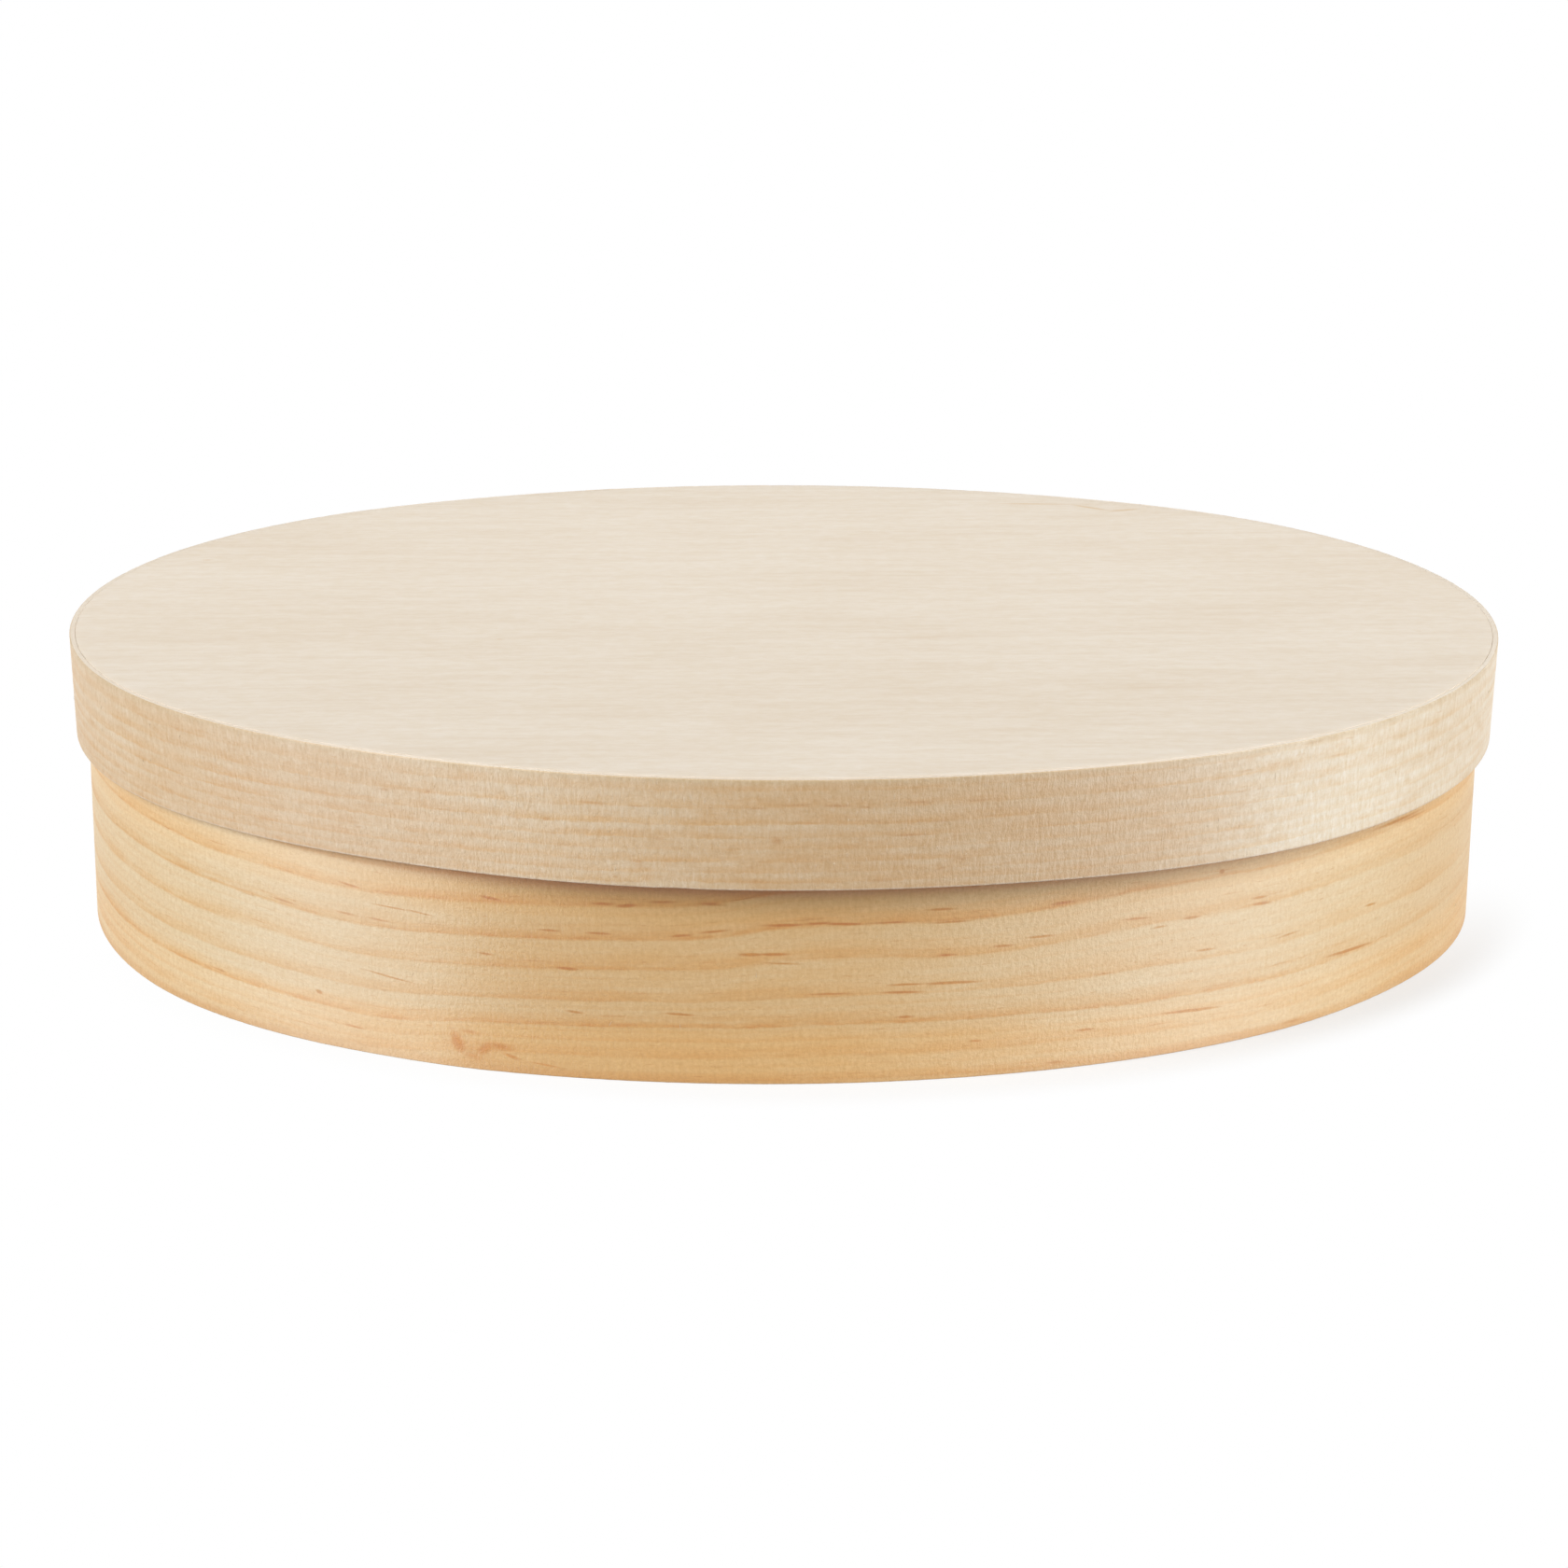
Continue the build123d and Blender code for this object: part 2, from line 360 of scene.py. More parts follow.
class BoxSizes(bpy.types.PropertyGroup):
    """The sizes of the box and of its joints."""

    lid_length: length("Lid length", "Length over the lid's top edge", 300.0)
    lid_width: length("Lid width", "Width over the lid's top edge", 246.0)
    lid_strip_height: length("Lid strip height", "Height of the lid's strip", 20.9)
    lid_strip_thickness: length("Lid strip thickness", "Thickness of the lid's strip", 1.2)
    lid_board_thickness: length("Lid board thickness", "Thickness of the lid's board", 3.0)
    lid_end_draw: length("Lid end draw", "How far the lid's lower edge draws in at the ends", 0.6)
    lid_side_bow: length("Lid side bow", "How far the lid's lower edge bows out at the sides", 1.2)
    arc_join: angle("Arc join", "Angle from the length at which the end and side arcs meet", 62.0)
    box_height: length("Box height", "Height with the lid on", 60.4)
    base_strip_thickness: length("Base strip thickness", "Thickness of the base's strip", 1.5)
    bottom_board_thickness: length("Bottom board thickness", "Thickness of the bottom board", 3.0)
    lid_clearance: length("Lid clearance", "Gap between the strips at the top", 2.0)
    board_gap: length("Board gap", "Gap round each board", 0.015)
    lap_length: length("Lap length", "Length over which a strip laps itself", 45.0)
    lap_tip: length("Lap tip", "Thickness left at the end of a lapped strip", 0.3)
    lap_gap: length("Lap gap", "Width of the slot between lapped ends", 0.2)
    lap_glue: length("Lap glue", "Thickness of the glue between lapped ends", 0.12)
    base_lap_place: length("Base lap place", "Middle of the base's lap along the back", 12.0)
    lid_lap_place: length("Lid lap place", "Middle of the lid's lap along the back", -20.0)
    bead_width: length("Bead width", "Width of a glue bead on its board", 1.2)
    bead_height: length("Bead height", "Height of a glue bead up its strip", 1.2)
    bead_edge: length("Bead edge", "Thickness of a glue bead's far edge", 0.3)
    edge_ease: length("Edge ease", "Rounding of the strips' edges", 0.13)
    board_ease: length("Board ease", "Rounding of the edges where a board meets its strip", 0.05)
    edge_wear: length("Edge wear", "How far the strips' cut edges are worn back", 0.12)
    wear_size: length("Wear size", "Distance between worn places", 1.8)
    bead_wear: length("Bead wear", "How far a glue bead strays", 0.16)
    fibre_length: length("Fibre length", "Length of a loose fibre", 1.2)
    fibre_thickness: length("Fibre thickness", "Thickness of a loose fibre", 0.11)
    fibre_lift: length("Fibre lift", "How far a loose fibre stands off the wood", 0.15)
    station_step: length("Station step", "Distance between sections along a strip", 1.0)
    section_step: length("Section step", "Distance between points up a strip", 4.0)


class WoodTones(bpy.types.PropertyGroup):
    """The colours of the woods and of the glue."""

    base_pale: colour("Base pale", "Paler early wood of the base's strip", (0.94, 0.76, 0.50))
    base_warm: colour("Base warm", "Warmer early wood of the base's strip", (0.87, 0.56, 0.235))
    base_knot: colour("Base knot", "Heart of the knot in the base's strip", (0.70, 0.29, 0.035))
    base_foot: colour("Base foot", "Lower cut edge of the base's strip", (0.76, 0.42, 0.14))
    lid_pale: colour("Lid pale", "Paler early wood of the lid's strip", (1.0, 0.93, 0.82))
    lid_tan: colour("Lid tan", "Warmer early wood of the lid's strip", (0.80, 0.575, 0.34))
    late_wood: colour("Late wood", "Tint of the late wood in each ring", (0.94, 0.775, 0.52))
    ring_line: colour("Ring line", "Tint of the last late wood in each ring", (0.88, 0.67, 0.39))
    pore: colour("Pore", "Tint of the pores and between the sawn fibres", (0.80, 0.69, 0.48))
    # Painted shadow: a mauve tint that stands in for the shade just under the lid's edge
    rubbed: colour("Rubbed", "Tint of the base where the lid's edge rubs it", (0.94, 0.64, 0.62))
    board_pale: colour("Board pale", "Face of the boards", (0.978, 0.886, 0.765))
    board_deep: colour("Board deep", "Darker grain of the boards", (0.885, 0.757, 0.606))
    board_orange: colour("Board orange", "Resin stains on the boards", (0.78, 0.60, 0.40))
    resin: colour("Resin", "Tint of the resin canals that the knife cut through", (0.76, 0.51, 0.19))
    cut_edge: colour("Cut edge", "Torn fibres along the lower cut edge", (0.86, 0.70, 0.55))
    top_edge: colour("Top edge", "Sanded upper edge of the lid's strip", (0.76, 0.61, 0.40))
    fibre: colour("Fibre", "Loose fibres that stand off the wood", (0.82, 0.70, 0.52))
    glue: colour("Glue", "Dried wood glue", (0.52, 0.36, 0.16))


class StudioSettings(bpy.types.PropertyGroup):
    """The camera, the lamps and the floor."""

    focal_length: FloatProperty(name="Focal length", description="In millimetres", default=88.194)
    camera_distance: length("Camera distance", "From the aim to the camera", 826.49)
    camera_pitch: angle("Camera pitch", "How far the camera looks down", 17.006)
    camera_roll: angle("Camera roll", "How far the camera leans", 0.4126)
    camera_turn: angle("Camera turn", "How far the camera stands round to the right", -3.118)
    aim_across: length("Aim across", "Aim point across the view", -0.09)
    aim_height: length("Aim height", "Aim point above the floor", 22.07)
    lamp_turn: angle("Lamp turn", "Each side lamp's angle round from the camera", 62.0)
    lamp_rise: angle("Lamp rise", "Each side lamp's angle above the floor", 30.0)
    lamp_distance: length("Lamp distance", "From the box to each side lamp", 2600.0)
    lamp_width: length("Lamp width", "Width of each side lamp", 900.0)
    lamp_height: length("Lamp height", "Height of each side lamp", 1800.0)
    left_power: amount("Left power", "Watts", 57.5, 1000.0)
    right_power: amount("Right power", "Watts", 58.5, 1000.0)
    fill: amount("Fill", "Light from all round", 0.10)
    floor_size: length("Floor size", "Side of the floor", 12000.0)
    floor_bounce: amount("Floor bounce", "Share of light that the floor gives back", 0.40)
    floor_shade: amount("Floor shade", "Brightness of the open floor close by the box", 0.76)
    floor_shadow: amount("Floor shadow", "How much of the shadow shows by the box", 0.40)
    shadow_reach: length("Shadow reach", "How far out from the box the shadow fades away", 13.0)


class Oval:
    """An oval of two end arcs and two side arcs, known by its half sizes."""

    def __init__(self, half_length, half_width, arc_join):
        rise_share = (1 - math.sin(arc_join)) / math.cos(arc_join)
        self.end_radius = (half_width - half_length * rise_share) / (1 - rise_share)
        self.side_radius = self.end_radius + (half_length - self.end_radius) / math.cos(arc_join)
        self.half_length = half_length
        self.half_width = half_width
        self.arc_join = arc_join
        side_turn = math.pi - 2 * arc_join
        end_turn = 2 * arc_join
        side_run = self.side_radius * side_turn
        end_run = self.end_radius * end_turn
        self.girth = 2 * (side_run + end_run)
        turns = np.cumsum([0] + [side_turn, end_turn] * (4 * LAPS))
        runs = np.cumsum([0] + [side_run, end_run] * (4 * LAPS))
        self.turns = turns - QUARTER_TURN - side_turn / 2 - LAPS * FULL_TURN
        self.runs = runs - side_run / 2 - LAPS * self.girth

    def turn_at(self, along):
        """The turn of the outward normal, a distance along from the front's middle."""
        return np.interp(along, self.runs, self.turns)

    def places(self, turn):
        """Points on the oval, and its outward normals, at turns of the normal."""
        normals = np.stack([np.cos(turn), np.sin(turn)], axis=1)
        at_end = np.abs(normals[:, 0]) >= math.cos(self.arc_join)
        end_centre = np.sign(normals[:, 0]) * (self.half_length - self.end_radius)
        side_centre = np.sign(normals[:, 1]) * (self.half_width - self.side_radius)
        centres = [np.where(at_end, end_centre, 0), np.where(at_end, 0, side_centre)]
        radii = np.where(at_end, self.end_radius, self.side_radius)
        return np.stack(centres, axis=1) + normals * radii[:, None], normals


def base_oval(sizes):
    """The outer face of the base's strip."""
    inset = sizes.lid_strip_thickness + sizes.lid_clearance
    return Oval(sizes.lid_length / 2 - inset, sizes.lid_width / 2 - inset, sizes.arc_join)


def lid_oval(sizes, below):
    """The outer face of the lid's strip, at a share of its height below the top."""
    half_length = sizes.lid_length / 2 - sizes.lid_end_draw * below
    half_width = sizes.lid_width / 2 + sizes.lid_side_bow * below
    return Oval(half_length, half_width, sizes.arc_join)


def add_bumps(along, bumps):
    """The sum of smooth bumps, at distances along from the front's middle."""
    total = np.zeros_like(along)
    for bump in bumps:
        total += bump.size * MM * np.exp(-(((along - bump.along * MM) / (bump.reach * MM)) ** 2))
    return total


def lid_push(along):
    """How far the lid's strip stands outside its oval."""
    return add_bumps(along, LID_BULGES) - LID_INSET * MM


def base_push(along):
    """How far the base's strip stands outside its oval at the foot, with its crease."""
    softened = np.hypot(along - BASE_CREASE.along * MM, BASE_CREASE_SOFTNESS * MM)
    crease = BASE_CREASE.size * MM * np.exp(-softened / (BASE_CREASE.reach * MM))
    return add_bumps(along, BASE_BULGES) + crease


WALL_PARTS = "top_oval foot_oval low high thickness push push_lost lap_place"


class Wall(namedtuple("Wall", WALL_PARTS)):
    """One of the two bent walls: its ovals at the top and the foot, and its strip."""

    def below(self, height):
        """The share of the wall's height below its top."""
        return (self.high - height) / (self.high - self.low)

    def stations(self, along):
        """Places round the top, how far the foot lies from them, and their outward normals."""
        turn = self.top_oval.turn_at(along)
        places, normals = self.top_oval.places(turn)
        foot_places, _ = self.foot_oval.places(turn)
        return places, foot_places - places, normals

    def edge(self, along, depth, height):
        """Points a depth inside the wall at one height, at distances along."""
        places, draw, normals = self.stations(along)
        below = self.below(height)
        push = self.push(along) * (1 - self.push_lost * (1 - below))
        return places + draw * below + normals * (push - depth)[:, None]


def base_wall(sizes):
    """The base's wall."""
    oval = base_oval(sizes)
    high = sizes.box_height - sizes.lid_board_thickness
    thickness = sizes.base_strip_thickness
    return Wall(oval, oval, 0.0, high, thickness, base_push, BASE_PUSH_LOST, sizes.base_lap_place)


def lid_wall(sizes):
    """The lid's wall."""
    low = sizes.box_height - sizes.lid_strip_height
    thickness = sizes.lid_strip_thickness
    return Wall(
        lid_oval(sizes, 0), lid_oval(sizes, 1), low, sizes.box_height, thickness, lid_push, 0.0,
        sizes.lid_lap_place,
    )


def line_mesh(name, places, closed, numbers, vectors):
    """A line of edges through places, with a number or a vector for each at every place."""
    mesh = bpy.data.meshes.new(name)
    edges = [(index, index + 1) for index in range(len(places) - 1)]
    if closed:
        edges.append((len(places) - 1, 0))
    mesh.from_pydata([tuple(place) for place in places], edges, [])
    for label, values in numbers.items():
        attribute = mesh.attributes.new(label, "FLOAT", "POINT")
        attribute.data.foreach_set("value", np.asarray(values, dtype=np.float32))
    for label, values in vectors.items():
        attribute = mesh.attributes.new(label, "FLOAT_VECTOR", "POINT")
        attribute.data.foreach_set("vector", np.asarray(values, dtype=np.float32).ravel())
    return mesh


def flat_to_space(points):
    """Flat points or directions, with a height of nothing."""
    return np.concatenate([points, np.zeros((len(points), 1))], axis=1)


def wall_path(name, wall, along, outer_depth, depth_share, foot_lift, closed):
    """The line that a section is swept along, with all that its sections need to know."""
    places, draw, normals = wall.stations(along)
    numbers = {
        "along": along,
        "outer_depth": outer_depth,
        "depth_share": depth_share,
        "push": wall.push(along),
        "foot_lift": foot_lift,
    }
    vectors = {
        "path_place": flat_to_space(places),
        "outward": flat_to_space(normals),
        "draw": flat_to_space(draw),
    }
    return line_mesh(name, flat_to_space(places), closed, numbers, vectors)


def lap_slot_depth(sizes, thickness, into_lap):
    """How deep the middle of a lap's slot lies, a distance into the lap."""
    rise = (thickness - 2 * sizes.lap_tip) / sizes.lap_length
    return sizes.lap_tip + rise * into_lap


def strip_path(name, sizes, wall, lifts):
    """The path of a strip, from its outer end round to its inner end."""
    half_girth = wall.top_oval.girth / 2
    half_lap = sizes.lap_length / 2
    half_gap = sizes.lap_gap / 2
    riser = half_gap / 2
    first = half_girth - wall.lap_place + half_lap
    last = -half_girth - wall.lap_place - half_lap
    outer_step = first - sizes.lap_length - half_gap
    inner_step = last + sizes.lap_length + half_gap
    count = round((first - last) / sizes.station_step)
    stations = list(np.linspace(first - half_gap, last + half_gap, count))
    stations = [s for s in stations if min(abs(s - outer_step), abs(s - inner_step)) > 2 * riser]
    for step in (outer_step, inner_step):
        stations += [step - riser, step + riser]
    along = np.array(sorted(stations, reverse=True))
    in_outer_lap = along > outer_step
    in_inner_lap = along < inner_step
    outer_slot = lap_slot_depth(sizes, wall.thickness, first - along)
    inner_slot = lap_slot_depth(sizes, wall.thickness, last + sizes.lap_length - along)
    outer_depth = np.where(in_inner_lap, inner_slot + half_gap, 0)
    inner_depth = np.where(in_outer_lap, outer_slot - half_gap, wall.thickness)
    depth_share = (inner_depth - outer_depth) / wall.thickness
    return wall_path(name, wall, along, outer_depth, depth_share, add_bumps(along, lifts), False)


def glue_film_path(name, sizes, wall):
    """The path of the glue film in a lap: in from the outer face, along, and out inside."""
    half_lap = sizes.lap_length / 2
    middle = wall.top_oval.girth / 2 - wall.lap_place
    half_film = sizes.lap_glue / 2
    skin = half_film / 2
    ends = np.array([half_lap + half_film, half_lap - half_film])
    inside = np.linspace(half_lap - half_film - skin, skin + half_film - half_lap, FILM_STATIONS)
    along = middle + np.concatenate([ends, inside, -ends[::-1]])
    into_lap = np.clip(middle + half_lap - along, 0, sizes.lap_length)
    slot = lap_slot_depth(sizes, wall.thickness, into_lap)
    outer_depth = slot - half_film
    inner_depth = slot + half_film
    outer_depth[:2] = half_film
    inner_depth[-2:] = wall.thickness - half_film
    depth_share = (inner_depth - outer_depth) / sizes.lap_glue
    return wall_path(name, wall, along, outer_depth, depth_share, np.zeros_like(along), False)


def ring_path(name, sizes, wall):
    """A closed path round a wall's inner face."""
    girth = wall.top_oval.girth
    count = round(girth / sizes.station_step)
    along = np.linspace(-girth / 2, girth / 2, count, endpoint=False)
    outer_depth = np.full(count, wall.thickness)
    return wall_path(name, wall, along, outer_depth, np.ones(count), np.zeros(count), True)


def corner(depth, height, ease, first_turn):
    """Points round an eased corner whose centre is given, a quarter turn from its first."""
    points = []
    for step in range(EASE_STEPS + 1):
        turn = first_turn - QUARTER_TURN * step / EASE_STEPS
        points.append((depth + ease * math.cos(turn), height + ease * math.sin(turn)))
    return points


def face_heights(low, high, sizes):
    """Heights up a strip's face, close to its eased edges and then evenly spaced."""
    near_edge = sizes.edge_ease / 2
    count = max(2, round((high - low) / sizes.section_step))
    middle = np.linspace(low + 4 * near_edge, high - 4 * near_edge, count)
    return [low + near_edge, *middle, high - near_edge]


def section_line(name, points):
    """A closed section, given as depths and heights."""
    depths = [depth for depth, _ in points]
    heights = [height for _, height in points]
    places = [(depth, height, 0) for depth, height in points]
    return line_mesh(name, places, True, {"depth": depths, "height": heights}, {})


def strip_section(name, sizes, wall, inner_top_ease, inner_foot_ease):
    """A strip's section, with eased corners and points up both faces."""
    ease = sizes.edge_ease
    thickness = wall.thickness
    points = corner(ease, wall.low + ease, ease, -QUARTER_TURN)
    points += [(0, height) for height in face_heights(wall.low + ease, wall.high - ease, sizes)]
    points += corner(ease, wall.high - ease, ease, -2 * QUARTER_TURN)
    inner = thickness - inner_top_ease
    points += corner(inner, wall.high - inner_top_ease, inner_top_ease, QUARTER_TURN)
    inner_low = wall.low + inner_foot_ease
    heights = face_heights(inner_low, wall.high - inner_top_ease, sizes)
    points += [(thickness, height) for height in reversed(heights)]
    inner = thickness - inner_foot_ease
    points += corner(inner, wall.low + inner_foot_ease, inner_foot_ease, 0)
    return section_line(name, points)


def film_section(name, sizes, wall):
    """The glue film's section, kept short of the strip's edges."""
    low = wall.low + sizes.edge_ease
    high = wall.high - sizes.edge_ease
    heights = list(np.linspace(low, high, FILM_HEIGHTS))
    points = [(0, height) for height in heights]
    points += [(sizes.lap_glue, height) for height in reversed(heights)]
    return section_line(name, points)


def bead_section(name, sizes, foot, upward):
    """A glue bead's section: a hollow fillet from the board to the strip."""
    width = sizes.bead_width
    tall = sizes.bead_height * upward
    edge = sizes.bead_edge
    points = [(0, foot), (width, foot), (width, foot + edge * upward / 3)]
    for share in BEAD_TURN_SHARES:
        turn = QUARTER_TURN * share
        depth = width - (width - edge / 3) * math.sin(turn)
        height = edge / 3 + (sizes.bead_height - edge / 3) * (1 - math.cos(turn))
        points.append((depth, foot + height * upward))
    points += [(edge / 3, foot + tall), (0, foot + tall)]
    return section_line(name, points)


class Value:
    """A number that nodes work out, which plain sums can be written with."""

    def __init__(self, maker, socket):
        self.maker = maker
        self.socket = socket

    def __add__(self, other):
        return self.maker.math("ADD", self, other)

    def __sub__(self, other):
        return self.maker.math("SUBTRACT", self, other)

    def __rsub__(self, other):
        return self.maker.math("SUBTRACT", other, self)

    def __mul__(self, other):
        return self.maker.math("MULTIPLY", self, other)

    def __truediv__(self, other):
        return self.maker.math("DIVIDE", self, other)

    def __rtruediv__(self, other):
        return self.maker.math("DIVIDE", other, self)


class NodeMaker:
    """Adds nodes to one tree and joins them up."""

    def __init__(self, tree):
        self.tree = tree

    def add(self, kind, inputs=None, **settings):
        """A new node to the right of the last one, with its settings and its inputs by name."""
        node = self.tree.nodes.new(kind)
        node.location = (NODE_SPACING * len(self.tree.nodes), 0)
        for setting, value in settings.items():
            setattr(node, setting, value)
        for label, source in (inputs or {}).items():
            self.feed(node.inputs[label], source)
        return node

    def feed(self, socket, source):
        """Gives a socket its source: a value, another socket, or a plain number or vector."""
        if isinstance(source, Value):
            source = source.socket
        if isinstance(source, bpy.types.NodeSocket):
            self.tree.links.new(source, socket)
        else:
            socket.default_value = source

    def fill(self, node, *sources):
        """Feeds a node's sockets in order, and returns its first output."""
        sockets = [socket for socket in node.inputs if socket.enabled]
        for socket, source in zip(sockets, sources):
            if source is not None:
                self.feed(socket, source)
        return Value(self, next(output for output in node.outputs if output.enabled))

    def given(self):
        """What the tree is given, by name."""
        start = self.add("NodeGroupInput")
        return {output.name: Value(self, output) for output in start.outputs if output.name}

    def math(self, operation, *sources, clamp=False):
        """The result of one sum."""
        return self.fill(self.add("ShaderNodeMath", operation=operation, use_clamp=clamp), *sources)

    def vector_math(self, operation, *sources):
        """The result of one sum on vectors."""
        return self.fill(self.add("ShaderNodeVectorMath", operation=operation), *sources)

    def times_plus(self, value, factor, more):
        """A value times a factor, and something more."""
        return self.math("MULTIPLY_ADD", value, factor, more)

    def gaps(self, value, share):
        """A share where a value is nothing, down to nothing where it is one."""
        return self.times_plus(value, -share, share)

    def combine(self, x, y, z):
        """A vector from its parts."""
        return self.fill(self.add("ShaderNodeCombineXYZ"), x, y, z)

    def separate(self, vector, kind="ShaderNodeSeparateXYZ"):
        """The three parts of a vector or a colour."""
        node = self.add(kind)
        self.fill(node, vector)
        return [Value(self, output) for output in node.outputs]

    def step(self, value, low, high):
        """A smooth step from nothing at the low value to one at the high value."""
        node = self.add("ShaderNodeMapRange", interpolation_type="SMOOTHSTEP")
        return self.fill(node, value, low, high)

    def noise(self, vector, detail=2.0, roughness=0.5):
        """Smooth noise between nothing and one."""
        inputs = {"Vector": vector, "Scale": 1.0, "Detail": detail, "Roughness": roughness}
        return self.fill(self.add("ShaderNodeTexNoise", inputs))

    def grain_noise(self, place, size_along, size_up, detail, roughness):
        """Noise with one size along the grain and another up it."""
        vector = self.combine(place.along / size_along, place.height / size_up, place.depth)
        return self.noise(vector, detail, roughness)

    def centred(self, value, size):
        """A value from nothing to one, made to swing a size each way."""
        return self.times_plus(value, size * 2.0, size * -1.0)

    def squares(self, first, second):
        """The sum of two squares."""
        return self.times_plus(first, first, second * second)


def build_grain_height(maker, along, height, depth, sway, sway_length, fuzz, seed):
    """The height of a point along the grain, where the grain sways and its lines are fuzzy."""
    place = Place(along, height, depth * 0.15 + seed)
    low_noise = maker.grain_noise(place, sway_length, sway_length * 0.35, detail=2.0, roughness=0.45)
    fine_noise = maker.grain_noise(place, size_along=2.2, size_up=0.55, detail=3.0, roughness=0.6)
    return height + maker.centred(low_noise, sway) + maker.centred(fine_noise, fuzz)


def build_growth_rings(maker, along, height, spacing, unevenness, seed):
    """Lines of late wood, sharp on the lower side and soft on the upper, no two alike."""
    slow = maker.noise(maker.combine(height / (spacing * 3.5), seed, 0.0))
    ring_place = height / spacing + maker.centred(slow, unevenness)
    within = maker.math("FRACT", ring_place)
    rise = maker.step(within, 0.0, 0.15)
    fall = maker.step(within, 0.7, 0.15)
    own_row = maker.math("FLOOR", ring_place) * 7.31
    wander = maker.noise(maker.combine(along / 38.0, own_row, seed))
    return rise * fall * maker.step(wander, 0.2, 0.7)


def build_resin_dashes(maker, along, height, cell_length, cell_height, length, width, present, seed):
    """Pointed dark dashes along the grain, scattered one to a cell."""
    point = maker.combine(along / cell_length + seed, height / cell_height, 0.0)
    inputs = {"Scale": 1.0, "Vector": point}
    voronoi = maker.add("ShaderNodeTexVoronoi", inputs, voronoi_dimensions="2D")
    away = maker.vector_math("SUBTRACT", point, voronoi.outputs["Position"])
    away_along, away_up, _ = maker.separate(away)
    chances = maker.separate(voronoi.outputs["Color"], "ShaderNodeSeparateColor")
    length_chance, present_chance, strength_chance = chances
    half_length = length * (maker.times_plus(length_chance, 0.8, 0.2) * 0.5)
    along_share = away_along * cell_length / half_length
    up_share = away_up * cell_height / (width * 0.5)
    dash = maker.step(maker.squares(along_share, up_share), 1.0, 0.1)
    shown = maker.math("LESS_THAN", present_chance, present)
    return dash * shown * maker.times_plus(strength_chance, 0.75, 0.25)


def build_sawn_fibres(maker, along, height, depth, fibre_width, fibre_length, seed):
    """The nap that a coarse cut leaves across the grain."""
    place = Place(along, height, depth * 0.9 + seed)
    strands = maker.grain_noise(place, fibre_width, fibre_length, detail=3.0, roughness=0.65)
    return maker.step(strands, 0.28, 0.72)


def build_speckle(maker, along, height, depth, grain_length, grain_height, seed):
    """The fine pores and fibre ends of planed wood, drawn out along the grain."""
    place = Place(along, height, depth * 0.9 + seed)
    drawn = maker.grain_noise(place, grain_length, grain_height, detail=4.0, roughness=0.7)
    return maker.step(drawn, 0.3, 0.7)


def build_streak(maker, point, middle, lean, size, strength, before):
    """A leaning ellipse that fades outwards, or what was there before where that is stronger."""
    mapping = maker.add("ShaderNodeMapping", vector_type="TEXTURE")
    away = maker.vector_math("LENGTH", maker.fill(mapping, point, middle, lean, size))
    return maker.math("MAXIMUM", (1.0 - away) * strength, before)


# The effects that the woods share, each with the function that makes its nodes
EFFECTS = {
    "Grain Height": build_grain_height,
    "Growth Rings": build_growth_rings,
    "Resin Dashes": build_resin_dashes,
    "Sawn Fibres": build_sawn_fibres,
    "Speckle": build_speckle,
    "Streak": build_streak,
}
VECTOR_INPUTS = ("Point", "Middle", "Lean", "Size")


def socket_label(name):
    """What a socket is called, from the plain name of what it takes."""
    return name.replace("_", " ").title()


def make_shader_groups():
    """Makes a shader node group of each shared effect."""
    for name, build in EFFECTS.items():
        tree = bpy.data.node_groups.new(name, "ShaderNodeTree")
        maker = NodeMaker(tree)
        taken = list(inspect.signature(build).parameters)[1:]
        for label in map(socket_label, taken):
            kind = "NodeSocketVector" if label in VECTOR_INPUTS else "NodeSocketFloat"
            tree.interface.new_socket(name=label, in_out="INPUT", socket_type=kind)
        tree.interface.new_socket(name="Result", in_out="OUTPUT", socket_type="NodeSocketFloat")
        result = build(maker, *maker.given().values())
        maker.add("NodeGroupOutput", {"Result": result})


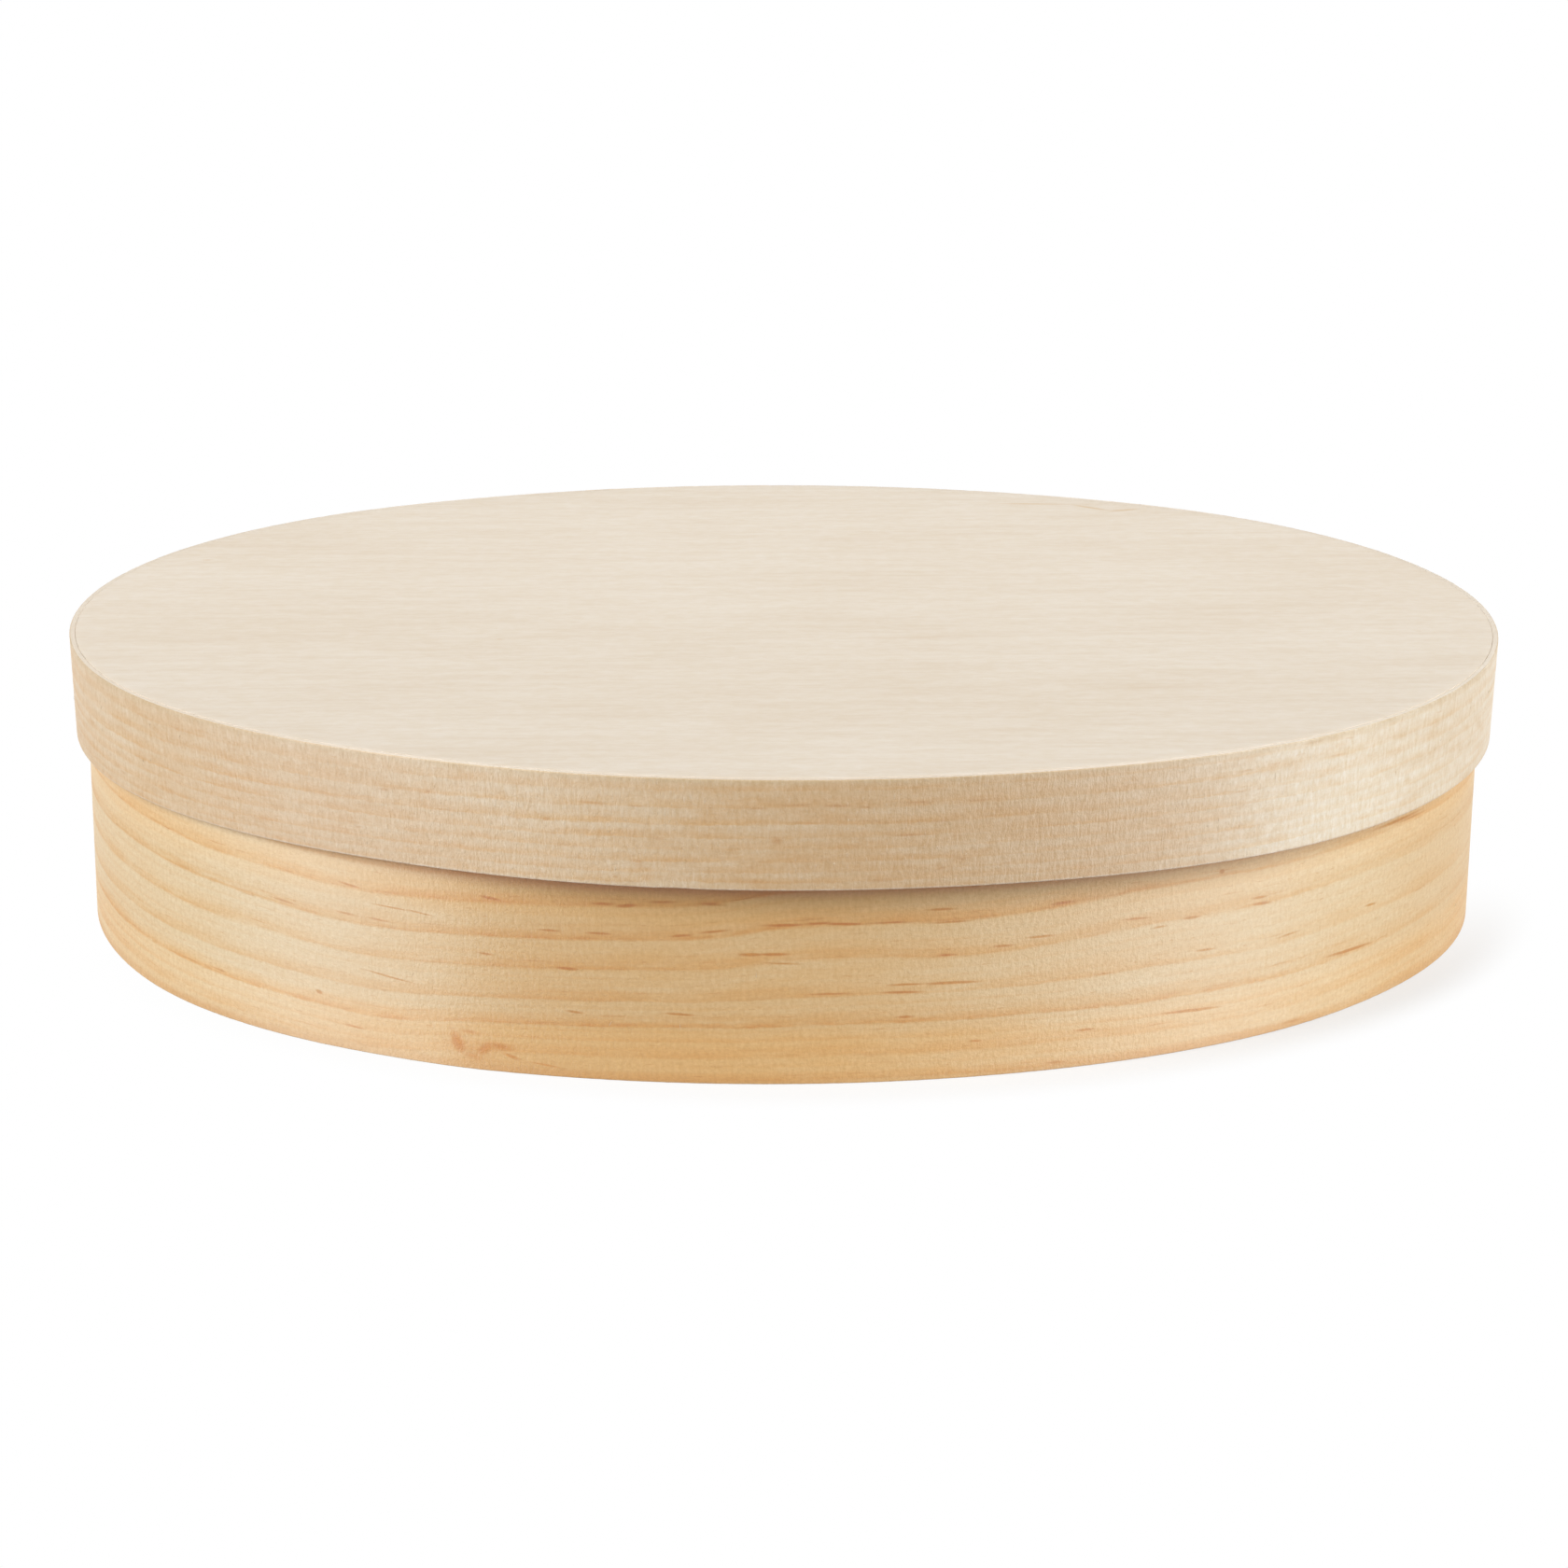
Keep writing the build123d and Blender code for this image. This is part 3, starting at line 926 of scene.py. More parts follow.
class WoodMaker(NodeMaker):
    """Builds one material's nodes."""

    def __init__(self, name):
        self.material = bpy.data.materials.new(name)
        self.material.use_nodes = True
        super().__init__(self.material.node_tree)
        self.tree.nodes.clear()

    def group(self, name, place=(), **others):
        """The result of a shared effect at a place, with its other inputs by name."""
        node = self.add("ShaderNodeGroup", node_tree=bpy.data.node_groups[name])
        for label, source in zip(("Along", "Height", "Depth"), place):
            if label in node.inputs:
                self.feed(node.inputs[label], source)
        for label, source in others.items():
            self.feed(node.inputs[socket_label(label)], source)
        return Value(self, node.outputs[0])

    def mix(self, factor, first, second, blend="MIX"):
        """Two colours mixed."""
        colours = [part if isinstance(part, Value) else (*part, 1.0) for part in (first, second)]
        node = self.add("ShaderNodeMix", data_type="RGBA", blend_type=blend)
        return self.fill(node, factor, *colours)

    def covered(self, tone, factor, cover, share=1.0, blend="MIX"):
        """A colour covered by another as much as a factor and its share say."""
        if share < 1.0:
            factor = factor * share
        return self.mix(factor, tone, cover, blend)

    def tinted(self, tone, factor, tint, share=1.0):
        """A colour seen through a tint as much as a factor and its share say."""
        return self.covered(tone, factor, tint, share, "MULTIPLY")

    def shaded(self, tone, shade):
        """A colour made darker or lighter by a number."""
        return self.tinted(tone, 1.0, self.combine(shade, shade, shade))

    def in_millimetres(self, vector):
        """The three parts of a vector, from metres."""
        return self.separate(self.vector_math("MULTIPLY", vector, (1 / MM, 1 / MM, 1 / MM)))

    def strip_place(self):
        """Where a point lies on an unrolled strip, in millimetres."""
        attribute = self.add("ShaderNodeAttribute", attribute_name="unrolled")
        along, depth, height = self.in_millimetres(attribute.outputs["Vector"])
        return Place(along, height, depth)

    def edge_distance(self):
        """How far a point lies from the nearest cut edge, in millimetres."""
        attribute = self.add("ShaderNodeAttribute", attribute_name="edge")
        return self.math("MULTIPLY", attribute.outputs["Fac"], 1 / MM)

    def board_place(self):
        """Where a point lies on a board, in millimetres, with the grain along X."""
        coordinates = self.add("ShaderNodeTexCoord")
        return Place(*self.in_millimetres(coordinates.outputs["Object"]))

    def streaks(self, along, height, marks, full):
        """How much hand-placed streaks show, up to all at the full strength."""
        point = self.combine(along, height, 0.0)
        strongest = 0.0
        for mark in marks:
            strongest = self.group(
                "Streak",
                point=point,
                middle=(mark.along, mark.height, 0.0),
                lean=(0.0, 0.0, math.atan(mark.tilt)),
                size=(mark.length, mark.width, 1.0),
                strength=mark.strength,
                before=strongest,
            )
        return self.step(strongest, 0.0, full)

    def finish(self, base_colour, roughness, relief, relief_depth, gloss=0.5, stretch=0.0, bend=1.5):
        """The surface from its colour, its roughness and its relief in millimetres."""
        bump = self.add("ShaderNodeBump", {"Distance": relief_depth * MM, "Height": relief})
        inputs = {
            "Base Color": base_colour,
            "Roughness": roughness,
            "Normal": bump.outputs["Normal"],
            "IOR": bend,
            "Specular IOR Level": gloss,
            "Anisotropic": stretch,
            "Anisotropic Rotation": STRETCH_TURN,
        }
        return self.output(self.add("ShaderNodeBsdfPrincipled", inputs).outputs["BSDF"])

    def output(self, surface):
        """Ends the material with its surface."""
        self.add("ShaderNodeOutputMaterial", {"Surface": surface})
        return self.material


def read_ramp(maker, value, stops, smooth=False):
    """A level of grey read from a ramp, which has a place and a level for each stop."""
    ramp = maker.add("ShaderNodeValToRGB")
    if smooth:
        ramp.color_ramp.interpolation = "B_SPLINE"
    elements = ramp.color_ramp.elements
    elements.remove(elements[0])
    elements[0].position = stops[0][0]
    for place, _ in stops[1:]:
        elements.new(place)
    for element, (_, level) in zip(elements, stops):
        element.color = (level, level, level, 1.0)
    return maker.fill(ramp, value)


def ring_profile(maker, height, rings, lowest, highest):
    """The late wood of named rings, read from a ramp between two heights."""
    reach = highest - lowest
    stops = [(0.0, 0.0)]
    for ring in rings:
        for above, share in ((-RING_EDGE, 0.0), (0.0, 1.0), (ring.width, 0.0)):
            place = (ring.height + above - lowest) / reach
            stops.append((max(place, stops[-1][0] + CLOSEST_STOPS), share * ring.strength))
    return read_ramp(maker, maker.times_plus(height, 1.0 / reach, -lowest / reach), stops)


def level_along(maker, along, levels, limit=1.0):
    """A level read from a ramp along a strip's front, from nothing up to a limit."""
    stops = [(0.5 + 0.5 * place / FRONT_REACH, level / limit) for place, level in levels.items()]
    share = maker.times_plus(along, 0.5 / FRONT_REACH, 0.5)
    return read_ramp(maker, share, stops, smooth=True) * limit


def grain_rise(maker, along, rises):
    """How far the grain rises along a strip's front."""
    raised = {place: rise + RISE_LIMIT for place, rise in rises.items()}
    return level_along(maker, along, raised, 2 * RISE_LIMIT) - RISE_LIMIT


def base_strip_wood(tones):
    """The base's strip: planed pine with wide rings, resin canals and a knot."""
    maker = WoodMaker("Base Strip Wood")
    place = maker.strip_place()
    along, height, depth = place

    # Growth rings
    low_rise = grain_rise(maker, along, LOW_RISES)
    more = grain_rise(maker, along, HIGH_RISES) - low_rise
    rise = maker.times_plus(maker.step(height, 8.0, 31.0), more, low_rise)
    straight = place._replace(height=height - rise)
    grain = maker.group("Grain Height", straight, sway=0.55, sway_length=26.0, fuzz=0.3, seed=3.0)
    grained = place._replace(height=grain)
    fuzzy = maker.group("Grain Height", place, sway=0.12, sway_length=9.0, fuzz=0.1, seed=6.0)
    fine_rings = maker.group("Growth Rings", grained, spacing=1.7, unevenness=0.5, seed=5.0)
    patchy = maker.grain_noise(grained, size_along=20.0, size_up=2.8, detail=3.0, roughness=0.6)
    broken = maker.grain_noise(grained, size_along=7.0, size_up=1.2, detail=2.0, roughness=0.6)
    faint = maker.times_plus(maker.step(along, 85.0, 125.0), -0.35, 1.0)
    rings = ring_profile(maker, grain, BASE_RINGS, lowest=0.0, highest=48.0) * faint
    band = rings * maker.step(patchy, 0.15, 0.6)
    line = maker.math("POWER", rings, 5.0) * maker.step(broken, 0.35, 0.65)

    # Resin canals and the knot
    dashes = maker.group(
        "Resin Dashes", grained, cell_length=12.0, cell_height=1.7,
        length=8.0, width=0.34, present=0.42, seed=2.0,
    )
    dashes = dashes * maker.times_plus(band, 0.8, 0.25)
    flecks = maker.group(
        "Resin Dashes", grained, cell_length=6.0, cell_height=1.3,
        length=2.6, width=0.26, present=0.26, seed=8.0,
    )
    marks = maker.streaks(along, fuzzy, BASE_STREAKS, full=0.6)
    canals = maker.math("MAXIMUM", marks, dashes * 0.85)
    knot = maker.streaks(along, fuzzy, KNOT_STROKES, full=0.7)
    glow = maker.streaks(along, height, KNOT_GLOW, full=1.0)

    # How warm the wood is: more so near the top and the foot, and round the knot, and paler along the
    # front where painted sheen falls
    cloud = maker.grain_noise(place, size_along=50.0, size_up=9.0, detail=3.0, roughness=0.5)
    off_middle = maker.math("ABSOLUTE", height - 21.0)
    outer = maker.step(off_middle, 8.0, 13.0)
    warm = level_along(maker, along, BASE_WARMTHS) + maker.centred(cloud, 0.3)
    warm = warm + maker.centred(patchy, 0.35)
    warm = maker.times_plus(outer, 0.3, warm)
    warm = maker.math("SUBTRACT", warm, 0.15, clamp=True)
    warm = maker.math("MAXIMUM", warm, glow)

    # Colour
    tone = maker.mix(warm, tones.base_pale, tones.base_warm)
    tone = maker.tinted(tone, band, tones.late_wood)
    tone = maker.tinted(tone, line, tones.ring_line, 0.8)
    tone = maker.tinted(tone, fine_rings, tones.late_wood, 0.3)
    tone = maker.tinted(tone, flecks, tones.resin, 0.45)
    tone = maker.covered(tone, maker.math("MAXIMUM", knot, glow * 0.25), tones.base_knot)
    tone = maker.tinted(tone, canals, tones.resin)

    # Painted shadow in a band just under the lid's edge on the outer face, the cut foot, and the
    # pores
    from_middle = maker.math("ABSOLUTE", along - 25.0)
    rubbed = maker.step(height, 36.0, 39.2) * maker.step(height, 42.0, 39.8)
    rubbed = rubbed * maker.step(from_middle, 125.0, 65.0)
    rubbed = rubbed * maker.step(depth, 0.8, 0.4)
    tone = maker.tinted(tone, rubbed, tones.rubbed)
    foot = maker.step(height, 2.6, 0.6) * maker.step(cloud, 0.2, 0.6)
    tone = maker.covered(tone, foot, tones.base_foot, 0.7)
    speckle = maker.group("Speckle", place, grain_length=0.9, grain_height=0.6, seed=4.0)
    fibres = maker.group("Sawn Fibres", place, fibre_width=0.7, fibre_length=2.2, seed=14.0)
    tone = maker.tinted(tone, maker.gaps(speckle, 0.5), tones.pore)
    tone = maker.tinted(tone, maker.gaps(fibres, 0.4), tones.pore)

    # Brightness: painted sheen and shade along the front, painted light near the top and the foot,
    # and painted light that lifts the shadow just below the lid at the right
    shade = maker.times_plus(outer, 0.07, level_along(maker, along, BASE_SHADES))
    fresh = maker.step(height, 35.5, 38.0) * maker.step(along, 40.0, 85.0)
    shade = maker.times_plus(fresh, 0.12, shade)
    tone = maker.shaded(tone, shade)
    relief = maker.times_plus(band, 0.6, speckle + fibres)
    roughness = maker.times_plus(speckle, 0.06, 0.56)
    return maker.finish(tone, roughness, relief, relief_depth=0.03, **STRIP_SHEEN)


def lid_strip_wood(tones):
    """The lid's strip: coarse-cut pine with close rings and a nap of torn fibres."""
    maker = WoodMaker("Lid Strip Wood")
    place = maker.strip_place()
    along, height, depth = place
    edge = maker.edge_distance()

    # Growth rings
    straight = place._replace(height=height - grain_rise(maker, along, LID_RISES))
    grain = maker.group("Grain Height", straight, sway=0.5, sway_length=30.0, fuzz=0.5, seed=7.0)
    grained = place._replace(height=grain)
    fuzzy = maker.group("Grain Height", place, sway=0.25, sway_length=12.0, fuzz=0.3, seed=3.0)
    patchy = maker.grain_noise(grained, size_along=16.0, size_up=1.4, detail=3.0, roughness=0.6)
    faint = maker.times_plus(maker.step(along, 70.0, 120.0), -0.4, 1.0)
    rings = ring_profile(maker, grain, LID_RINGS, lowest=38.0, highest=62.0) * faint
    rings = rings * maker.step(patchy, 0.2, 0.65)

    # Nap, specks and marks
    fibres = maker.group("Sawn Fibres", place, fibre_width=0.6, fibre_length=2.4, seed=5.0)
    long_fibres = maker.group("Sawn Fibres", place, fibre_width=1.0, fibre_length=3.8, seed=9.0)
    speckle = maker.group("Speckle", place, grain_length=0.7, grain_height=0.7, seed=6.0)
    crossed = Place(height, along, depth)
    bright = maker.group(
        "Resin Dashes", crossed, cell_length=2.6, cell_height=1.2,
        length=1.6, width=0.3, present=0.22, seed=15.0,
    )
    dashes = maker.group(
        "Resin Dashes", grained, cell_length=14.0, cell_height=2.6,
        length=3.4, width=0.6, present=0.16, seed=4.0,
    )
    marks = maker.streaks(along, fuzzy, LID_STREAKS, full=0.8)
    blotches = maker.grain_noise(place, size_along=9.0, size_up=2.2, detail=3.0, roughness=0.6)
    cloud = maker.grain_noise(place, size_along=45.0, size_up=12.0, detail=2.0, roughness=0.5)

    # Colour
    # The wood's warmth along the front, with painted sheen where it is paler
    warm = level_along(maker, along, LID_WARMTHS) + maker.centred(cloud, 0.3)
    warm = maker.math("ADD", warm, maker.centred(blotches, 0.3), clamp=True)
    tone = maker.mix(warm, tones.lid_pale, tones.lid_tan)
    tone = maker.tinted(tone, rings, tones.late_wood)
    tone = maker.tinted(tone, maker.step(blotches, 0.5, 0.8), tones.late_wood, 0.35)
    tone = maker.tinted(tone, dashes, tones.resin, 0.4)
    tone = maker.tinted(tone, marks, tones.resin, 0.62)
    tone = maker.covered(tone, bright, tones.fibre, 0.3)

    # The torn foot, the worn top edge, the sanded top and the pores
    torn = maker.step(edge, 0.6, 0.25) * maker.step(height, 50.0, 45.0)
    tone = maker.covered(tone, torn, tones.cut_edge, 0.8)
    top = maker.step(edge, 1.7, 0.2) * maker.step(height, 55.0, 58.0)
    top = top * maker.step(blotches, 0.25, 0.6)
    sanded = maker.step(depth, 0.08, 0.25) * maker.step(height, 59.9, 60.2)
    tone = maker.covered(tone, top, tones.top_edge, 0.6)
    tone = maker.tinted(tone, maker.gaps(fibres, 0.42), tones.pore)
    tone = maker.tinted(tone, maker.gaps(long_fibres, 0.42), tones.pore)
    between = maker.gaps(speckle, 0.4)
    tone = maker.tinted(tone, between * faint, tones.pore)
    # Painted sheen and shade: brightness along the front, darker in the middle
    tone = maker.shaded(tone, level_along(maker, along, LID_SHADES))
    tone = maker.covered(tone, sanded, tones.board_pale, 0.6)
    relief = maker.times_plus(speckle, 0.6, fibres + bright)
    roughness = maker.times_plus(fibres, -0.06, 0.6)
    return maker.finish(tone, roughness, relief, relief_depth=0.05, **STRIP_SHEEN)


def board_wood(tones):
    """The boards: pale sanded wood with faint straight grain."""
    maker = WoodMaker("Board Wood")
    place = maker.board_place()
    # Painted shade: the board is darker towards the front and lighter towards the back
    worn = maker.step(place.height, 120.0, -140.0)
    grain = maker.group("Grain Height", place, sway=2.0, sway_length=120.0, fuzz=0.25, seed=11.0)
    grained = place._replace(height=grain)
    rings = maker.group("Growth Rings", grained, spacing=7.5, unevenness=0.8, seed=9.0)
    lines = maker.grain_noise(grained, size_along=26.0, size_up=2.4, detail=4.0, roughness=0.65)
    speckle = maker.group("Speckle", place, grain_length=3.4, grain_height=1.7, seed=12.0)
    flecks = maker.group(
        "Resin Dashes", grained, cell_length=9.0, cell_height=3.4,
        length=2.6, width=0.7, present=0.2, seed=14.0,
    )
    cloud = maker.grain_noise(place, size_along=70.0, size_up=24.0, detail=3.0, roughness=0.55)
    marks = maker.streaks(place.along, grain, BOARD_STREAKS, full=0.7)
    stains = maker.streaks(place.along, grain, BOARD_STAINS, full=1.0)
    deep = maker.step(cloud, 0.35, 0.7) * 0.3
    deep = maker.times_plus(rings, 0.12, deep)
    deep = maker.times_plus(maker.step(lines, 0.35, 0.7), 0.34, deep)
    tone = maker.mix(deep, tones.board_pale, tones.board_deep)
    tone = maker.covered(tone, stains, tones.board_orange, 0.4)
    tone = maker.tinted(tone, flecks, tones.resin, 0.1)
    tone = maker.tinted(tone, marks, tones.resin, 0.4)
    tone = maker.shaded(tone, maker.times_plus(worn, -0.09, 1.0))
    tone = maker.tinted(tone, maker.gaps(speckle, 0.2), tones.pore)
    relief = maker.times_plus(flecks, -1.0, speckle)
    roughness = maker.times_plus(speckle, 0.06, 0.74)
    return maker.finish(tone, roughness, relief, relief_depth=0.02, gloss=0.3)


def dried_glue(tones):
    """Dried wood glue: amber, glossy and uneven."""
    maker = WoodMaker("Dried Glue")
    place = maker.board_place()
    drips = maker.grain_noise(place, size_along=3.0, size_up=3.0, detail=3.0, roughness=0.6)
    darker = tuple(part * 0.6 for part in tones.glue)
    tone = maker.mix(maker.step(drips, 0.35, 0.7), tones.glue, darker)
    roughness = maker.times_plus(drips, 0.25, 0.2)
    return maker.finish(tone, roughness, drips, relief_depth=0.15)


def loose_fibre(tones):
    """A loose fibre: bleached wood, a little streaky."""
    maker = WoodMaker("Loose Fibre")
    place = maker.board_place()
    streaky = maker.grain_noise(place, size_along=0.4, size_up=0.4, detail=2.0, roughness=0.5)
    darker = tuple(part * 0.8 for part in tones.fibre)
    tone = maker.mix(streaky, tones.fibre, darker)
    roughness = maker.times_plus(streaky, 0.1, 0.55)
    return maker.finish(tone, roughness, streaky, relief_depth=0.01)


WOOD_MAKERS = {
    "Base Strip Wood": base_strip_wood,
    "Lid Strip Wood": lid_strip_wood,
    "Board Wood": board_wood,
    "Dried Glue": dried_glue,
    "Loose Fibre": loose_fibre,
}


def material_called(name):
    """One of the materials, made when it is first asked for."""
    if "Streak" not in bpy.data.node_groups:
        make_shader_groups()
    if name not in bpy.data.materials:
        return WOOD_MAKERS[name](bpy.context.scene.box_tones)
    return bpy.data.materials[name]


def geometry_tree(name, kinds, build):
    """A geometry node tree with inputs of named kinds and a material, made once."""
    if name in bpy.data.node_groups:
        return bpy.data.node_groups[name]
    tree = bpy.data.node_groups.new(name, "GeometryNodeTree")
    for label, kind in {"Geometry": "Geometry", **kinds, "Material": "Material"}.items():
        tree.interface.new_socket(name=label, in_out="INPUT", socket_type="NodeSocket" + kind)
    tree.interface.new_socket(name="Geometry", in_out="OUTPUT", socket_type="NodeSocketGeometry")
    maker = NodeMaker(tree)
    given = maker.given()
    realized = maker.fill(maker.add("GeometryNodeRealizeInstances"), build(maker, given))
    smooth = maker.fill(maker.add("GeometryNodeSetShadeSmooth"), realized)
    painted = maker.fill(maker.add("GeometryNodeSetMaterial"), smooth, None, given["Material"])
    maker.add("NodeGroupOutput", {"Geometry": painted})
    return tree


def named(maker, name, kind="FLOAT"):
    """An attribute of the geometry, by name."""
    return maker.fill(maker.add("GeometryNodeInputNamedAttribute", data_type=kind), name)


def tube(maker, line, section, scale=None):
    """A section swept along a line, with its ends closed."""
    return maker.fill(maker.add("GeometryNodeCurveToMesh"), line, section, scale, True)


SWEEP_SIZES = ("Low", "High", "Thickness", "Push Lost", "Wear", "Stray", "Wear Size", "Wear Reach")
SWEEP_INPUTS = {"Section": "Object", **dict.fromkeys(SWEEP_SIZES, "Float")}


def build_sweep(maker, given):
    """A section swept round a wall, where each depth and height is read from the section."""
    path = maker.fill(maker.add("GeometryNodeMeshToCurve"), given["Geometry"])
    info = maker.add("GeometryNodeObjectInfo", {"Object": given["Section"]})
    section = maker.fill(maker.add("GeometryNodeMeshToCurve"), info.outputs["Geometry"])
    sweep = tube(maker, path, section)
    height = named(maker, "height")
    below = (given["High"] - height) / (given["High"] - given["Low"])
    lift = named(maker, "foot_lift") * maker.math("POWER", below, LIFT_FADING)
    share = named(maker, "depth_share")
    depth = maker.times_plus(named(maker, "depth"), share, named(maker, "outer_depth"))
    along = named(maker, "along")
    edge = maker.math("MINIMUM", height - given["Low"], given["High"] - height)
    near = maker.step(edge, given["Wear Reach"], 0.0)
    where = maker.combine(along, depth + height, 0.0)
    scaled = maker.vector_math("SCALE", where, 1.0 / given["Wear Size"])
    noise = maker.add("ShaderNodeTexNoise", {"Vector": scaled, "Scale": 1.0})
    wear = maker.math("MULTIPLY", near * given["Wear"], noise.outputs[0])
    inward = 1.0 - depth / (given["Thickness"] * 0.5)
    worn_depth = maker.times_plus(wear, inward, depth)
    worn_rise = wear * maker.times_plus(below, 2.0, -1.0)
    lifted = height + lift + worn_rise
    kept = 1.0 - given["Push Lost"] * (1.0 - below)
    out = named(maker, "push") * kept - worn_depth
    drawn = maker.vector_math("SCALE", named(maker, "draw", "FLOAT_VECTOR"), below)
    pushed = maker.vector_math("SCALE", named(maker, "outward", "FLOAT_VECTOR"), out)
    place = maker.vector_math("ADD", named(maker, "path_place", "FLOAT_VECTOR"), drawn)
    place = maker.vector_math("ADD", place, pushed)
    place = maker.vector_math("ADD", place, maker.combine(0.0, 0.0, lifted))
    stray = maker.vector_math("SUBTRACT", noise.outputs["Color"], (0.5, 0.5, 0.5))
    strayed = maker.vector_math("SCALE", stray, given["Stray"] * 2.0)
    place = maker.vector_math("ADD", place, strayed)
    moved = maker.fill(maker.add("GeometryNodeSetPosition"), sweep, None, place)
    unrolled = maker.combine(along, depth, height)
    for label, kind, value in (("unrolled", "FLOAT_VECTOR", unrolled), ("edge", "FLOAT", edge)):
        store = maker.add("GeometryNodeStoreNamedAttribute", data_type=kind)
        moved = maker.fill(store, moved, None, label, value)
    return moved


FIBRE_SIZES = ("Density", "Length", "Thickness", "Lift", "Reach X", "Reach Y", "Reach Z")
FIBRE_INPUTS = {**dict.fromkeys(FIBRE_SIZES, "Float"), "Seed": "Int"}


def random_between(maker, kind, low, high, seed):
    """A random value for each point."""
    node = maker.add("FunctionNodeRandomValue", {"Seed": seed}, data_type=kind)
    return maker.fill(node, low, high)


def fibre_line(maker, given):
    """One fibre: a thin line that bends up off the wood and tapers to its free end."""
    half = given["Length"] * 0.5
    ends = {
        "Resolution": FIBRE_STEPS,
        "Start": maker.combine(0.0, half * -1.0, given["Thickness"] * -0.5),
        "Middle": (0.0, 0.0, 0.0),
        "End": maker.combine(half * FIBRE_BEND, half, given["Lift"]),
    }
    line = maker.add("GeometryNodeCurveQuadraticBezier", ends)
    outline = {"Resolution": FIBRE_SIDES, "Radius": given["Thickness"] * 0.5}
    section = maker.add("GeometryNodeCurvePrimitiveCircle", outline)
    along_share = maker.add("GeometryNodeSplineParameter").outputs["Factor"]
    taper = maker.times_plus(along_share, -FIBRE_TAPER, 1.0)
    return tube(maker, line.outputs[0], section.outputs[0], taper)


def build_fibres(maker, given):
    """Loose fibres that stand off the outer face of a strip."""
    _, depth, _ = maker.separate(named(maker, "unrolled", "FLOAT_VECTOR"))
    chosen = maker.math("LESS_THAN", depth, given["Thickness"])
    chosen = chosen * maker.math("GREATER_THAN", named(maker, "edge"), given["Length"])
    x, y, z = maker.separate(maker.add("GeometryNodeInputPosition").outputs[0])
    across = maker.math("ABSOLUTE", x)
    back = maker.math("ABSOLUTE", y)
    for distance, reach in ((across, "Reach X"), (back, "Reach Y"), (z, "Reach Z")):
        chosen = chosen * maker.math("LESS_THAN", distance, given[reach])
    where = {
        "Mesh": given["Geometry"],
        "Selection": chosen,
        "Density": given["Density"],
        "Seed": given["Seed"],
    }
    scatter = maker.add("GeometryNodeDistributePointsOnFaces", where)
    upright = {"Vector": scatter.outputs["Normal"]}
    stand = maker.add("FunctionNodeAlignRotationToVector", upright, axis="Z")
    low, high = ((side, side, 1.0) for side in (-FIBRE_LEAN, FIBRE_LEAN))
    lean = random_between(maker, "FLOAT_VECTOR", low, high, FIBRE_LEAN_SEED)
    turned = {"Rotation": stand.outputs[0], "Vector": lean}
    turn = maker.add("FunctionNodeAlignRotationToVector", turned, axis="Y", pivot_axis="Z")
    size = random_between(maker, "FLOAT", *FIBRE_SIZE_RANGE, FIBRE_SIZE_SEED)
    stood = {
        "Points": scatter.outputs["Points"],
        "Selection": chosen,
        "Instance": fibre_line(maker, given),
        "Rotation": turn.outputs[0],
        "Scale": maker.combine(1.0, size, 1.0),
    }
    return maker.fill(maker.add("GeometryNodeInstanceOnPoints", stood))


def add_object(name, data):
    """A new object in the scene, at the origin."""
    added = bpy.data.objects.new(name, data)
    bpy.context.scene.collection.objects.link(added)
    return added


def run_tree(name, mesh, tree, values):
    """Runs a geometry node tree on a mesh, and returns the plain mesh that it makes."""
    holder = add_object(name + "_path", mesh)
    modifier = holder.modifiers.new("Nodes", "NODES")
    modifier.node_group = tree
    for item in tree.interface.items_tree:
        if item.in_out == "INPUT" and item.name in values:
            modifier[item.identifier] = values[item.name]
    evaluated = holder.evaluated_get(bpy.context.evaluated_depsgraph_get())
    result = bpy.data.meshes.new_from_object(evaluated)
    result.name = name
    holder.modifiers.remove(modifier)
    bpy.data.objects.remove(holder)
    return result


# The attributes that only the sweep reads
WORKING_ATTRIBUTES = (
    "along", "outer_depth", "depth_share", "push", "foot_lift", "path_place", "outward", "draw",
    "depth", "height",
)


def face_outwards(mesh):
    """Turns a closed mesh's faces outwards."""
    shell = bmesh.new()
    shell.from_mesh(mesh)
    bmesh.ops.recalc_face_normals(shell, faces=shell.faces[:])
    shell.to_mesh(mesh)
    shell.free()


def unevenness(size, reach, wear=0.0, stray=0.0):
    """How far a swept piece is worn and strays, how close together and how near its edges."""
    return {"Wear": wear, "Stray": stray, "Wear Size": size, "Wear Reach": reach}


def swept_piece(name, path, section, wall, material, uneven):
    """A piece swept round a wall, as a plain mesh object."""
    holder = add_object(name + "_section", section)
    values = {
        "Section": holder,
        "Low": wall.low,
        "High": wall.high,
        "Thickness": wall.thickness,
        "Push Lost": wall.push_lost,
        "Material": material_called(material),
        **uneven,
    }
    tree = geometry_tree("Sweep Round Wall", SWEEP_INPUTS, build_sweep)
    mesh = run_tree(name, path, tree, values)
    bpy.data.objects.remove(holder)
    for attribute in WORKING_ATTRIBUTES:
        if attribute in mesh.attributes:
            mesh.attributes.remove(mesh.attributes[attribute])
    face_outwards(mesh)
    return add_object(name, mesh)


def settle(piece, body, node, slot):
    """Puts a piece on the body it rides on and hides the node that it stands for; what it is made of
    is not used.
    """
    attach(piece, body)
    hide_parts(node)


def add_strip(sizes, name, wall, material, eases, lifts):
    """One bent strip."""
    path = strip_path(name, sizes, wall, lifts)
    section = strip_section(name, sizes, wall, *eases)
    uneven = unevenness(sizes.wear_size, 2 * sizes.edge_ease, wear=sizes.edge_wear)
    return swept_piece(name, path, section, wall, material, uneven)


